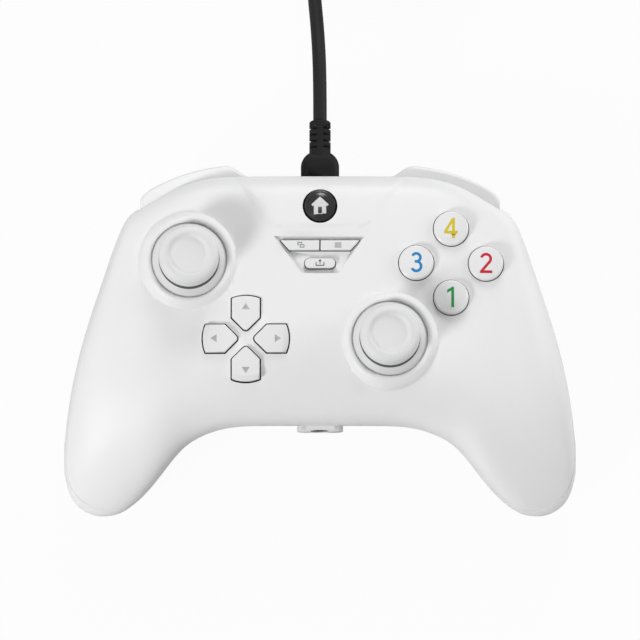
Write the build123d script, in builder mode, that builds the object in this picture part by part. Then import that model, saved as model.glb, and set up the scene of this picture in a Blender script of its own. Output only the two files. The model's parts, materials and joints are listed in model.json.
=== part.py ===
from math import asin, atan2, cos, degrees, hypot, pi, radians, sin, sqrt, tan
import os

from build123d import *

# A wired gamepad lying on its back on a table, in millimetres.
# +X is the player's right, +Y points away from the player to the cord side, +Z is up.
# The origin is on the table under the middle of the pad without its cord.

os.makedirs("parts", exist_ok=True)

# Casing
half_width = 77
rear_reach = 45.9
grip_reach = 52.7
face_height = 43
belly_height = 10
wall = 2.2
face_droop = 17
droop_start = -7.9
grip_drop = 16
grip_start = 10.1
grip_low = -35.9
side_power = 2.8
face_rear_power = 6
face_front_power = 4
belly_rear_power = 3.2
belly_front_power = 2.8
grip_power = 2.3
drop_start_share = 0.36
drop_span_share = 0.4
grip_start_share = 0.6
grip_span_share = 0.35
seam_gap = 0.25
overrun = 4
fit_gap = 0.3
slide_gap = 0.25

# Share of the half width, then of the rear reach, then of the grip reach
outline_shares = [
    (0, 1, 0.5139),
    (0.13, 1, 0.5139),
    (0.26, 0.9989, 0.5157),
    (0.39, 0.9935, 0.537),
    (0.455, 0.9783, 0.5676),
    (0.52, 0.9479, 0.6176),
    (0.585, 0.8969, 0.7129),
    (0.65, 0.8351, 0.8268),
    (0.705, 0.7863, 0.9074),
    (0.745, 0.7364, 0.9528),
    (0.78, 0.6344, 0.9815),
    (0.82, 0.4575, 0.9972),
    (0.86, 0.2633, 1),
    (0.9, 0.0658, 0.9861),
    (0.935, -0.1305, 0.9574),
    (0.963, -0.3247, 0.9148),
    (0.984, -0.5255, 0.85),
    (0.9965, -0.6925, 0.7704),
]
nose_rear_share = -0.8065
# Share of the rear reach, then of the face height, along the seam between the shells
parting_shares = [(1.3255, 0.63), (0.2405, 0.625), (-0.519, 0.55), (-1.0072, 0.4), (-1.4954, 0.2)]
round_shares = [1, 0.975, 0.9, 0.75, 0.5, 0.18]

# Rest hump under the middle of the belly
hump_width = 44
hump_depth = 26
hump_y = 13.1
hump_corner = 6
hump_taper = 22
hump_edge = 1.5

# Raised middle panel and the recess of the small keys
panel_rise = 0.55
panel_depth = 8
panel_corner = 6
panel_slope_width = 2.4
panel_slope_drop = 0.8
panel_shares = [(0.375, 1.0542), (0.188, 0.6257)]
recess_depth = 0.8
recess_top_half = 13.7
recess_bottom_half = 5.4
recess_rear = 27.4
recess_front = 16.2

# Thumb sticks
left_stick_x = -39
left_stick_y = 20.1
right_stick_x = 20.8
right_stick_y = -3.5
stick_rim_height = 44
stick_opening_radius = 11.25
collar_width = 4.15
collar_crest = 0.3
collar_drop = 4.5
collar_depth = 8
# Share of the collar's width, then of its drop
collar_shares = [(0, 0.07), (0.28, 0), (0.57, 0.18), (0.83, 0.53), (1, 1)]
dome_radius = 14.5
dome_gap = 0.4
dome_wall = 1.2
stick_tilt = 20
skirt_margin = 2
cap_radius = 9
cap_thickness = 4
cap_top_rise = 21.5
cap_edge = 1.3
neck_radius = 4.6
dish_radius = 5.95
dish_depth = 1.1
shaft_radius = 1.5
shaft_shoulder = 8.2
shoulder_radius = 2.5
shoulder_thickness = 0.8
socket_radius = 3.4
socket_depth = 2.7
click_travel = 0.5
pivot_radius = 2.7
pivot_half_height = 2.2
pivot_pin_radius = 0.8
yoke_inner_radius = 3.7
yoke_outer_radius = 5.2
yoke_height = 2.6
yoke_pin_radius = 1
yoke_pin_reach = 7.7
module_half = 8
module_top_rise = 4
module_well_radius = 6.3
module_floor = 2
sensor_reach = 11.1
sensor_half = 4.4
sensor_top_rise = 1.5

# Boards
board_top = 27
board_thickness = 1.6
board_half_width = 55.5
board_front = -15.9
board_rear = 32.1
board_shoulder_half = 49
board_shoulder_y = 27.1
tongue_half = 9
tongue_rear = 41.7
board_corner = 2
board_gap = 0.15
chip_size = 9
chip_height = 1
chip_x = 3
chip_y = 0.1
board_screw_radius = 0.9
board_screw_head = 1.7
board_screw_head_height = 1.1
board_screw_length = 5
board_post_radius = 2.6
board_post_places = [(0, 10.1), (-1.5, -9.9), (-52.5, -11.9), (52.5, -11.9)]

# Keys in general
key_plane = 38.6
flange_gap = 0.3
flange_thickness = 1
flange_reach = 1.15
stem_bottom = 30.9
dome_base = 0.8
dome_top = 30.6
dome_skin = 0.6
dome_reach = 0.6
dome_top_share = 0.8

# Face buttons
cluster_x = 39.1
cluster_y = 19.3
cluster_spread = 10.4
button_radius = 5.2
button_rise = 2
button_crown = 0.45
button_edge = 0.7
button_travel = 1.2
button_stem_radius = 4.4
button_boss = 8

# Direction keys
dpad_x = -22.1
dpad_y = -3.5
dpad_reach = 12.8
dpad_half_width = 4.15
dpad_shoulder = 6.25
dpad_tip_round = 1.1
dpad_corner_round = 0.7
dpad_end_bulge = 0.8
dpad_top = 43.9
dpad_edge = 0.3
dpad_slope_width = 1.4
dpad_slope_drop = 0.4
dpad_gap = 0.4
dpad_flange_reach = 0.6
dpad_stem_radius = 3
dpad_stem_offset = 8
dpad_boss_radius = 15.4
arrow_half = 1.2
arrow_length = 1.9
arrow_offset = 9.6
arrow_depth = 0.25
arrow_taper = 60

# Middle keys
home_y = 36.5
home_radius = 4.95
home_rise = 1.3
home_crown = 1
home_travel = 0.8
home_stem_radius = 2
pair_top_half = 11.8
pair_bottom_half = 9.1
pair_rear = 26.1
pair_front = 23.1
pair_split = 0.36
pair_stem_x = 5.6
share_half_length = 4.55
share_half_height = 1.5
share_y = 19.2
middle_key_rise = 0.55
middle_key_edge = 0.35
middle_stem_radius = 1.35
middle_flange_reach = 0.55
middle_boss_half = 14.6

# Shoulder keys and the bridge between them
bumper_top = 33.5
bumper_bottom = 24.6
bumper_outline_shares = [
    (0.7, 0.7939),
    (0.7, 0.8752),
    (0.678, 0.9175),
    (0.614, 0.9826),
    (0.521, 1.0445),
    (0.447, 1.077),
    (0.388, 1.0933),
    (0.353, 1.0933),
    (0.333, 1.0792),
    (0.281, 1.025),
    (0.2385, 1.0087),
]
bumper_inner_shares = [(0.2385, 0.8481), (0.39, 0.8427), (0.52, 0.7993), (0.61, 0.7342), (0.69, 0.7071)]
bumper_edge = 1.2
bumper_gap = 0.4
bumper_sweep = 1.4
bumper_wall = 2
hinge_x = 21.2
hinge_y = 41.4
hinge_pin_radius = 1.15
hinge_bore_radius = 1.4
bridge_half = 17.9
bridge_rear = 46.3
bridge_front = 39.5
bridge_ear_half = 24
bridge_ear_thickness = 1.9
bridge_edge = 0.8
port_window_half = 4.9
port_window_height = 4
port_window_corner = 1.8

# Triggers
trigger_x = 36
trigger_y = 36.9
trigger_z = 20.6
trigger_slant = 20
trigger_half = 10
trigger_plate = 1.6
trigger_hub_radius = 2.3
trigger_hub_half = 6
trigger_gap = 0.5
trigger_face_shares = [(0.79, 0.2), (0.94, -0.12), (0.965, -0.5), (1.0, -0.9)]
trigger_reach = 13.2
trigger_drop = 14.6
trigger_skin = 2.4
trigger_corner = 5
trigger_pin_radius = 1.15
trigger_pin_half = 12
trigger_bore_gap = 0.15
cheek_thickness = 1.6
cheek_gap = 0.5
cheek_front = -5.4
cheek_radius = 2.5
cheek_low = -3.4
cheek_high = 3
frame_bar = 2.4
frame_front = 36.4
frame_rear = 39.1
frame_post_x = 13
frame_post_radius = 2.5
spring_radius = 2.05
spring_start = 6.3
spring_end = 8.1
sensor_box = 4.4
sensor_drop = 1.6

# Bumper switches
switch_x = 50
switch_width = 5.6
switch_depth = 3.6
switch_height = 5
switch_rear = 28.8
plunger_radius = 1
plunger_gap = 1.25

# Rumble motors
motor_x = 60.5
motor_z = 18.3
motor_radius = 6
motor_rear = -11.9
motor_length = 14.5
weight_radius = 8.8
weight_gap = 1
weight_thickness = 7
weight_hub_radius = 2.6
motor_shaft_radius = 1
cradle_thickness = 2.4
cradle_inset = 4

# Ports
port_half_width = 4.5
port_half_height = 1.6
port_skin = 0.3
port_length = 6.2
port_back = 1.1
port_mouth = 45.4
tongue_plate_half = 3.3
tongue_plate_height = 0.7
jack_z = 18.6
jack_face = -28.1
jack_bump_half = 6.9
jack_bump_height = 6.8
jack_bump_round = 2.6
jack_nose_radius = 2.6
jack_nose_length = 9
jack_bore_radius = 1.8
jack_bore_depth = 14
jack_body_half = 4.2
jack_body_height = 5.2
jack_body_length = 8
jack_recess = 0.2

# Case screws
case_screw_places = [(61, 4.1), (60, -39.5), (19, 32.1), (9.6, -21.4)]
case_screw_radius = 1.2
case_screw_head = 2.3
case_screw_head_height = 1.4
driver_slot_length = 2.8
driver_slot_width = 0.6
case_post_radius = 3.9
screw_seat_drop = 4.2
screw_tip_rise = 6
screw_gap = 0.15

# Cord
cord_diameter = 4.1
plug_half_width = 4.15
plug_half_height = 1.2
plug_skin = 0.35
plug_length = 6.2
boot_half_width = 5.75
boot_height = 7.6
boot_length = 8
boot_straight = 3.7
boot_shoulder = 4.9
boot_edge = 2.4
relief_radius = 3.2
relief_length = 10
relief_edge = 0.5
relief_groove = 0.8
relief_groove_width = 0.6
relief_spine = 1.8
relief_groove_shares = [0.18, 0.37, 0.56, 0.75]
coil_pitch = 5.1
coil_rise = 4.85
coil_layers = 4
coil_steps = 8
run_share = 0.45
coil_inner_radius = 14.3
tie_thickness = 0.5
tie_width = 8
tie_gap = 0.25
far_body_half_width = 7.6
far_body_half_height = 3.9
far_body_length = 21
far_body_corner = 2.2
far_shell_half_width = 6
far_shell_half_height = 2.25
far_shell_skin = 0.4
far_shell_length = 12
far_tongue_thickness = 1.6
far_relief_length = 10
far_relief_radius = 3.3

pivot_rise = sqrt((dome_radius + dome_gap) ** 2 - stick_opening_radius ** 2)
pivot_height = stick_rim_height - pivot_rise
shaft_tail = pivot_height - board_top - module_floor - click_travel - fit_gap
stick_places = [(left_stick_x, left_stick_y), (right_stick_x, right_stick_y)]
flange_top = key_plane - flange_gap
flange_bottom = flange_top - flange_thickness


def ease(share):
    share = min(max(share, 0), 1)
    return share * share * (3 - 2 * share)


# Rear and front edge of the plan at a share of the half width
def plan_edges(share):
    last = (1, nose_rear_share, -nose_rear_share * rear_reach / grip_reach)
    rows = outline_shares + [last]
    for (low, rear_low, front_low), (high, rear_high, front_high) in zip(rows, rows[1:]):
        if low <= share <= high:
            part = (share - low) / (high - low)
            rear = rear_low + (rear_high - rear_low) * part
            front = front_low + (front_high - front_low) * part
            return rear * rear_reach, -front * grip_reach


def crown_height(y):
    slope = max(0, (droop_start - y) / (droop_start + grip_reach))
    return face_height - face_droop * slope ** 2


def belly_low(x, y):
    across = ease((abs(x) / half_width - drop_start_share) / drop_span_share)
    along = ease((grip_start - y) / (grip_start - grip_low))
    return belly_height - grip_drop * across * along


# Height of the casing over a place in plan: side is 1 on the face and -1 on the belly.
# Inset shrinks the form on all sides, lift raises its face.
def casing_height(x, across, side, inset=0, lift=0):
    share = abs(x) / (half_width - inset)
    rear, front = plan_edges(share)
    middle = (rear + front) / 2
    half = (rear - front) / 2 - inset
    y = middle + across * half
    rear_power = face_rear_power if side > 0 else belly_rear_power
    front_power = face_front_power if side > 0 else belly_front_power
    power = rear_power if across > 0 else front_power
    power += (grip_power - power) * ease((share - grip_start_share) / grip_span_share)
    fall = (1 - abs(across) ** power) ** (1 / power)
    bulge = (1 - share ** side_power) ** (1 / side_power)
    high = crown_height(y)
    low = belly_low(x, y)
    thickness = (high - low) / 2 - inset
    if side > 0:
        thickness += lift
    return y, (high + low) / 2 + side * thickness * bulge * fall


def face_z(x, y):
    rear, front = plan_edges(abs(x) / half_width)
    across = (y - (rear + front) / 2) / ((rear - front) / 2)
    return casing_height(x, across, 1)[1]


def section_points(x, inset, lift):
    shares = round_shares + [-share for share in reversed(round_shares)]
    face = [casing_height(x, share, 1, inset, lift) for share in shares]
    belly = [casing_height(x, share, -1, inset, lift) for share in reversed(shares[1:-1])]
    return face + belly


# Spacing of the points round the sections, the same for every section
def section_knots():
    points = section_points(half_width / 2, 0, 0)
    knots = [0]
    for here, there in zip(points, points[1:] + points[:1]):
        knots.append(knots[-1] + hypot(there[0] - here[0], there[1] - here[1]))
    return [knot / knots[-1] for knot in knots]


def casing_form(inset=0, lift=0):
    knots = section_knots()
    reach = half_width - inset
    shares = [row[0] for row in outline_shares]
    stations = [share * reach for share in shares]
    stations = [-x for x in reversed(stations[1:])] + stations
    with BuildPart() as form:
        for x in stations:
            with BuildSketch(Plane.YZ.offset(x)):
                with BuildLine():
                    points = [Vector(y, z) for y, z in section_points(x, inset, lift)]
                    add(Edge.make_spline(points, periodic=True, parameters=knots))
                make_face()
        loft()
    return form.part


def parting_height(y):
    for (far, high), (near, low) in zip(parting_shares, parting_shares[1:]):
        if near * rear_reach <= y <= far * rear_reach:
            part = (y - near * rear_reach) / ((far - near) * rear_reach)
            return (low + (high - low) * part) * face_height


# Block that holds all above the seam, lowered by a gap for the lower shell
def above_seam(drop=0):
    with BuildPart() as block:
        with BuildSketch(Plane.YZ):
            with BuildLine():
                points = [(y * rear_reach, z * face_height - drop) for y, z in parting_shares]
                seam = Spline(*points)
                roof = 2 * face_height
                Polyline(seam @ 0, (points[0][0], roof), (points[-1][0], roof), seam @ 1)
            make_face()
        extrude(amount=half_width + overrun, both=True)
    return block.part


outer_form = casing_form()
raised_form = casing_form(lift=panel_rise)
inner_form = casing_form(inset=wall)

button_places = {
    "top": (cluster_x, cluster_y + cluster_spread),
    "left": (cluster_x - cluster_spread, cluster_y),
    "right": (cluster_x + cluster_spread, cluster_y),
    "bottom": (cluster_x, cluster_y - cluster_spread),
}
dpad_turns = {"up": 0, "left": 90, "down": 180, "right": 270}
screw_places = [(side * x, y) for x, y in case_screw_places for side in (-1, 1)]
recess_floor = face_z(0, recess_front) - recess_depth
middle_key_top = recess_floor + recess_depth + middle_key_rise
home_face = face_z(0, home_y)


# Outline of one direction key in its own plane, pointing along +Y from the pad's centre
def dpad_outline(grow=0):
    with BuildSketch() as outline:
        with BuildLine():
            tip = dpad_shoulder - dpad_half_width
            left = (-dpad_half_width, dpad_reach - dpad_end_bulge)
            right = (dpad_half_width, dpad_reach - dpad_end_bulge)
            Polyline(
                left,
                (-dpad_half_width, dpad_shoulder),
                (0, tip),
                (dpad_half_width, dpad_shoulder),
                right,
            )
            ThreePointArc(right, (0, dpad_reach), left)
        make_face()
        corners = outline.vertices().sort_by(Axis.Y)
        fillet(corners[0], radius=dpad_tip_round)
        fillet(corners[1:], radius=dpad_corner_round)
        if grow:
            offset(amount=grow)
    return outline.sketch


# Outline of the pair of small keys, or of one of them
def pair_outline(grow=0):
    with BuildSketch() as outline:
        with BuildLine():
            Polyline(
                (-pair_top_half, pair_rear),
                (pair_top_half, pair_rear),
                (pair_bottom_half, pair_front),
                (-pair_bottom_half, pair_front),
                close=True,
            )
        make_face()
        if grow:
            offset(amount=grow)
    return outline.sketch


def bumper_outline(side, grow=0):
    with BuildSketch() as outline:
        with BuildLine():
            outer = [(side * x * half_width, y * rear_reach) for x, y in bumper_outline_shares]
            inner = [(side * x * half_width, y * rear_reach) for x, y in bumper_inner_shares]
            Line(outer[0], outer[1])
            Spline(outer[1:])
            Polyline([outer[-1]] + inner + [outer[0]])
        make_face()
        if grow:
            offset(amount=grow)
    return outline.sketch


# Plane of a trigger: local X points out of the casing, local Y up, the normal along the pin
def trigger_plane(side):
    turn = radians(trigger_slant)
    return Plane(
        origin=(side * trigger_x, trigger_y, trigger_z),
        x_dir=(side * sin(turn), cos(turn), 0),
        z_dir=(cos(turn), -side * sin(turn), 0),
    )


# Inside of the casing, with the posts and key seats that both shells keep
with BuildPart() as casing_room:
    add(inner_form)
    with BuildSketch(Plane.XY.offset(wall)):
        with Locations((0, hump_y)):
            RectangleRounded(hump_width - 2 * wall, hump_depth - 2 * wall, hump_corner - wall)
    extrude(amount=belly_height + wall, taper=-hump_taper)
    flanges = [(x, y, button_radius, button_travel) for x, y in button_places.values()]
    for x, y, radius, travel in flanges + [(0, home_y, home_radius, home_travel)]:
        low = flange_bottom - travel - fit_gap
        with BuildSketch(Plane.XY.offset(low)):
            with Locations((x, y)):
                Circle(radius + flange_reach + fit_gap)
        extrude(amount=key_plane - low)
    for x, y in screw_places:
        with BuildSketch():
            with Locations((x, y)):
                Circle(case_post_radius)
        extrude(amount=face_height, mode=Mode.SUBTRACT)
    for x, y in board_post_places:
        with BuildSketch(Plane.XY.offset(board_top + board_gap)):
            with Locations((x, y)):
                Circle(board_post_radius)
        extrude(amount=face_height, mode=Mode.SUBTRACT)
    with BuildSketch(Plane.XY.offset(key_plane)):
        for x, y in button_places.values():
            with Locations((x, y)):
                Circle(button_boss)
        with Locations((dpad_x, dpad_y)):
            Circle(dpad_boss_radius)
        with Locations((0, home_y)):
            Circle(button_boss)
        with Locations((0, (recess_rear + recess_front) / 2)):
            Rectangle(2 * middle_boss_half, recess_rear - recess_front + 2 * wall)
    extrude(amount=face_height, mode=Mode.SUBTRACT)
    for side in (-1, 1):
        with BuildSketch():
            with Locations((side * frame_post_x, (frame_front + frame_rear) / 2)):
                Circle(frame_post_radius)
        extrude(amount=trigger_z + cheek_low - board_gap, mode=Mode.SUBTRACT)
        with BuildSketch(trigger_plane(side)):
            Circle(cheek_radius + fit_gap)
        extrude(amount=trigger_half + cheek_gap + cheek_thickness + fit_gap, both=True)
        with BuildSketch(Plane.XZ.offset(-motor_rear + cradle_inset)):
            with Locations((side * motor_x, 0)):
                Rectangle(2 * motor_radius, motor_z, align=(Align.CENTER, Align.MIN))
        extrude(amount=cradle_thickness, mode=Mode.SUBTRACT)
        with BuildSketch(Plane.XZ.offset(-motor_rear)):
            with Locations((side * motor_x, motor_z)):
                Circle(motor_radius + fit_gap)
        extrude(amount=motor_length)

# Slots that both shells open at the rear for the bumpers, the bridge and the triggers
with BuildPart() as rear_slots:
    with BuildSketch(Plane.XY.offset(bumper_bottom - bumper_gap)):
        with BuildLine():
            right = [(x * half_width, y * rear_reach - bumper_sweep) for x, y in bumper_inner_shares]
            end_x = bumper_outline_shares[0][0] * half_width + bumper_gap
            right += [(end_x, right[-1][1]), (end_x, rear_reach + 2 * overrun)]
            Polyline(right + [(-x, y) for x, y in reversed(right)], close=True)
        make_face()
    extrude(amount=bumper_top - bumper_bottom + 2 * bumper_gap)
    slot_low = bumper_bottom - fit_gap - bridge_ear_thickness - fit_gap
    with BuildSketch(Plane.XY.offset(slot_low)):
        with Locations((0, bridge_front)):
            Rectangle(
                2 * (bridge_half + fit_gap),
                bridge_rear - bridge_front + 2 * overrun,
                align=(Align.CENTER, Align.MIN),
            )
    extrude(amount=bumper_bottom - slot_low)
    for side in (-1, 1):
        with BuildSketch(trigger_plane(side)):
            with BuildLine():
                Polyline(
                    (0, -2 * trigger_drop),
                    (2 * trigger_reach, -2 * trigger_drop),
                    (2 * trigger_reach, bumper_bottom - bumper_gap - trigger_z),
                    (0, bumper_bottom - bumper_gap - trigger_z),
                    close=True,
                )
            make_face()
        extrude(amount=trigger_half + trigger_gap, both=True)

# Middle panel: a slightly raised copy of the form, cut to the panel's outline
with BuildPart() as middle_panel:
    with BuildSketch(Plane.XY.offset(face_height - panel_depth)) as panel:
        with BuildLine():
            right = [(x * half_width, y * rear_reach) for x, y in panel_shares]
            left = [(-x, y) for x, y in reversed(right)]
            Polyline(right + left, close=True)
        make_face()
        fillet(panel.vertices().sort_by(Axis.Y)[:2], radius=panel_corner)
    extrude(amount=panel_depth + overrun)
    add(raised_form, mode=Mode.INTERSECT)
    crown = middle_panel.faces().filter_by(GeomType.BSPLINE).sort_by(Axis.Z)[-1]
    rim = crown.edges().filter_by(lambda edge: edge.center().Z > key_plane)
    chamfer(rim, length=panel_slope_width, length2=panel_slope_drop, reference=crown)

with BuildPart() as top_shell:
    add(outer_form)
    add(middle_panel.part)
    for x, y in stick_places:
        axis = Axis((x, y, 0), (0, 0, 1))
        with BuildSketch(Plane(origin=(x, y, stick_rim_height), x_dir=(1, 0, 0), z_dir=(0, -1, 0))):
            with BuildLine():
                crown = Spline(
                    [
                        (stick_opening_radius + share * collar_width, collar_crest - drop * collar_drop)
                        for share, drop in collar_shares
                    ]
                )
                Polyline(
                    crown @ 1,
                    (stick_opening_radius + collar_width, -collar_depth),
                    (0, -collar_depth),
                    (0, (crown @ 0).Y),
                    crown @ 0,
                )
            make_face()
        revolve(axis=axis)
    add(above_seam(), mode=Mode.INTERSECT)
    add(casing_room.part, mode=Mode.SUBTRACT)
    add(rear_slots.part, mode=Mode.SUBTRACT)
    for x, y in stick_places:
        with Locations((x, y, pivot_height)):
            Sphere(dome_radius + dome_gap, mode=Mode.SUBTRACT)
    for x, y in button_places.values():
        with BuildSketch(Plane.XY.offset(key_plane - overrun)):
            with Locations((x, y)):
                Circle(button_radius + slide_gap)
        extrude(amount=face_height, mode=Mode.SUBTRACT)
    for turn in dpad_turns.values():
        with BuildSketch(Plane((dpad_x, dpad_y, key_plane - overrun)).rotated((0, 0, turn))):
            add(dpad_outline(dpad_gap))
        extrude(amount=face_height, mode=Mode.SUBTRACT)
    with BuildSketch(Plane.XY.offset(key_plane - overrun)):
        with Locations((0, home_y)):
            Circle(home_radius + slide_gap)
        add(pair_outline(slide_gap))
        with Locations((0, share_y)):
            SlotOverall(2 * (share_half_length + slide_gap), 2 * (share_half_height + slide_gap))
    extrude(amount=face_height, mode=Mode.SUBTRACT)
    with BuildSketch(Plane.XY.offset(recess_floor)):
        with BuildLine():
            Polyline(
                (-recess_top_half, recess_rear),
                (recess_top_half, recess_rear),
                (recess_bottom_half, recess_front),
                (-recess_bottom_half, recess_front),
                close=True,
            )
        make_face()
    extrude(amount=overrun, mode=Mode.SUBTRACT)
    for x, y in screw_places:
        with Locations((x, y, parting_height(y) + screw_tip_rise)):
            Cylinder(
                case_screw_radius + screw_gap,
                screw_tip_rise + overrun,
                align=(Align.CENTER, Align.CENTER, Align.MAX),
                mode=Mode.SUBTRACT,
            )
    for x, y in board_post_places:
        with Locations((x, y, board_top)):
            Cylinder(
                board_screw_radius + screw_gap,
                board_screw_length - board_thickness + screw_gap,
                align=(Align.CENTER, Align.CENTER, Align.MIN),
                mode=Mode.SUBTRACT,
            )
top_shell.part.label = "top_shell"
export_step(top_shell.part, "parts/top_shell.step")

with BuildPart() as bottom_shell:
    add(outer_form)
    with BuildSketch():
        with Locations((0, hump_y)):
            RectangleRounded(hump_width, hump_depth, hump_corner)
    extrude(amount=belly_height + wall, taper=-hump_taper)
    fillet(bottom_shell.faces().sort_by(Axis.Z)[0].edges(), radius=hump_edge)
    with BuildSketch(Plane((0, jack_face, jack_z), x_dir=(1, 0, 0), z_dir=(0, -1, 0))):
        RectangleRounded(2 * jack_bump_half, jack_bump_height, jack_bump_round)
    extrude(amount=jack_face - droop_start)
    add(casing_room.part, mode=Mode.SUBTRACT)
    add(rear_slots.part, mode=Mode.SUBTRACT)
    add(above_seam(seam_gap), mode=Mode.SUBTRACT)
    with BuildSketch(Plane((0, jack_face, jack_z), x_dir=(1, 0, 0), z_dir=(0, -1, 0))):
        Circle(jack_nose_radius + fit_gap)
    extrude(amount=-jack_nose_length, mode=Mode.SUBTRACT)
    for x, y in screw_places:
        seat = parting_height(y) - screw_seat_drop
        with Locations((x, y, seat)):
            Cylinder(
                case_screw_radius + screw_gap,
                face_height,
                align=(Align.CENTER, Align.CENTER, Align.CENTER),
                mode=Mode.SUBTRACT,
            )
            Cylinder(
                case_screw_head + screw_gap,
                face_height,
                align=(Align.CENTER, Align.CENTER, Align.MAX),
                mode=Mode.SUBTRACT,
            )
bottom_shell.part.label = "bottom_shell"
export_step(bottom_shell.part, "parts/bottom_shell.step")

with BuildPart() as case_screws:
    for x, y in screw_places:
        seat = parting_height(y) - screw_seat_drop
        with Locations((x, y, seat)):
            Cylinder(
                case_screw_head,
                case_screw_head_height,
                align=(Align.CENTER, Align.CENTER, Align.MAX),
            )
            Cylinder(
                case_screw_radius,
                screw_seat_drop + screw_tip_rise - screw_gap,
                align=(Align.CENTER, Align.CENTER, Align.MIN),
            )
        with BuildSketch(Plane.XY.offset(seat - case_screw_head_height)):
            with Locations((x, y)):
                Rectangle(driver_slot_length, driver_slot_width)
                Rectangle(driver_slot_width, driver_slot_length)
        extrude(amount=case_screw_head_height / 2, mode=Mode.SUBTRACT)
case_screws.part.label = "case_screws"
export_step(case_screws.part, "parts/case_screws.step")

# Key caps: a turned cap on a flange, with a stem down to its rubber dome
def round_key(x, y, radius, top, crown, edge, stem_radius):
    with BuildPart() as key:
        with BuildSketch(Plane(origin=(x, y, 0), x_dir=(1, 0, 0), z_dir=(0, -1, 0))):
            with BuildLine():
                Polyline(
                    (0, stem_bottom),
                    (stem_radius, stem_bottom),
                    (stem_radius, flange_bottom),
                    (radius + flange_reach, flange_bottom),
                    (radius + flange_reach, flange_top),
                    (radius, flange_top),
                    (radius, top - edge - crown),
                )
                side_end = (radius, top - edge - crown)
                crown_start = (radius - edge, top - crown)
                RadiusArc(side_end, crown_start, -edge)
                RadiusArc(crown_start, (0, top), -((radius - edge) ** 2 + crown ** 2) / (2 * crown))
                Line((0, top), (0, stem_bottom))
            make_face()
        revolve(axis=Axis((x, y, 0), (0, 0, 1)))
    return key.part


for name, (x, y) in button_places.items():
    with BuildPart() as face_button:
        top = face_z(x, y) + button_rise
        add(round_key(x, y, button_radius, top, button_crown, button_edge, button_stem_radius))
    face_button.part.label = f"face_button_{name}"
    export_step(face_button.part, f"parts/face_button_{name}.step")

with BuildPart() as home_button:
    top = home_face + home_rise
    add(round_key(0, home_y, home_radius, top, home_crown, button_edge, home_stem_radius))
home_button.part.label = "home_button"
export_step(home_button.part, "parts/home_button.step")

for name, turn in dpad_turns.items():
    with BuildPart() as direction_key:
        base = Plane((dpad_x, dpad_y, 0)).rotated((0, 0, turn))
        with BuildSketch(base.offset(flange_bottom)):
            add(dpad_outline())
        extrude(amount=dpad_top - flange_bottom)
        crown = direction_key.faces().sort_by(Axis.Z)[-1]
        outer_end = crown.edges().sort_by(Axis(base.origin, base.y_dir))[-1]
        chamfer(outer_end, length=dpad_slope_width, length2=dpad_slope_drop, reference=crown)
        fillet(direction_key.faces().sort_by(Axis.Z)[-1].edges(), radius=dpad_edge)
        with BuildSketch(base.offset(flange_bottom)):
            add(dpad_outline(dpad_flange_reach))
        extrude(amount=flange_thickness)
        with BuildSketch(base.offset(stem_bottom)):
            with Locations((0, dpad_stem_offset)):
                Circle(dpad_stem_radius)
        extrude(amount=flange_bottom - stem_bottom)
        with BuildSketch(base.offset(dpad_top)):
            with BuildLine():
                Polyline(
                    (-arrow_half, arrow_offset - arrow_length / 2),
                    (arrow_half, arrow_offset - arrow_length / 2),
                    (0, arrow_offset + arrow_length / 2),
                    close=True,
                )
            make_face()
        extrude(amount=-arrow_depth, taper=arrow_taper, mode=Mode.SUBTRACT)
    direction_key.part.label = f"dpad_{name}"
    export_step(direction_key.part, f"parts/dpad_{name}.step")

for name, side in {"view": -1, "menu": 1}.items():
    with BuildPart() as small_key:
        with BuildSketch(Plane.XY.offset(flange_bottom)):
            add(pair_outline())
            with Locations((-side * half_width / 2 + side * pair_split / 2, 0)):
                Rectangle(half_width, half_width * 2, mode=Mode.SUBTRACT)
        extrude(amount=middle_key_top - flange_bottom)
        fillet(small_key.faces().sort_by(Axis.Z)[-1].edges(), radius=middle_key_edge)
        with BuildSketch(Plane.XY.offset(flange_bottom)):
            with Locations((side * pair_stem_x, (pair_rear + pair_front) / 2)):
                Rectangle(pair_stem_x, pair_rear - pair_front + 2 * middle_flange_reach)
        extrude(amount=flange_thickness)
        with BuildSketch(Plane.XY.offset(stem_bottom)):
            with Locations((side * pair_stem_x, (pair_rear + pair_front) / 2)):
                Circle(middle_stem_radius)
        extrude(amount=flange_bottom - stem_bottom)
    small_key.part.label = f"{name}_button"
    export_step(small_key.part, f"parts/{name}_button.step")

with BuildPart() as share_button:
    with BuildSketch(Plane.XY.offset(flange_bottom)):
        with Locations((0, share_y)):
            SlotOverall(2 * share_half_length, 2 * share_half_height)
    extrude(amount=middle_key_top - flange_bottom)
    fillet(share_button.faces().sort_by(Axis.Z)[-1].edges(), radius=middle_key_edge)
    with BuildSketch(Plane.XY.offset(flange_bottom)):
        with Locations((0, share_y)):
            SlotOverall(
                2 * (share_half_length + middle_flange_reach),
                2 * (share_half_height + middle_flange_reach),
            )
    extrude(amount=flange_thickness)
    with BuildSketch(Plane.XY.offset(stem_bottom)):
        with Locations((0, share_y)):
            Circle(middle_stem_radius)
    extrude(amount=flange_bottom - stem_bottom)
share_button.part.label = "share_button"
export_step(share_button.part, "parts/share_button.step")


# Thumb sticks: cap with its dome, shaft, pivot block, yoke and the sensor module
def stick_section(x, y):
    return Plane(origin=(x, y, pivot_height), x_dir=(1, 0, 0), z_dir=(0, -1, 0))


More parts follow.
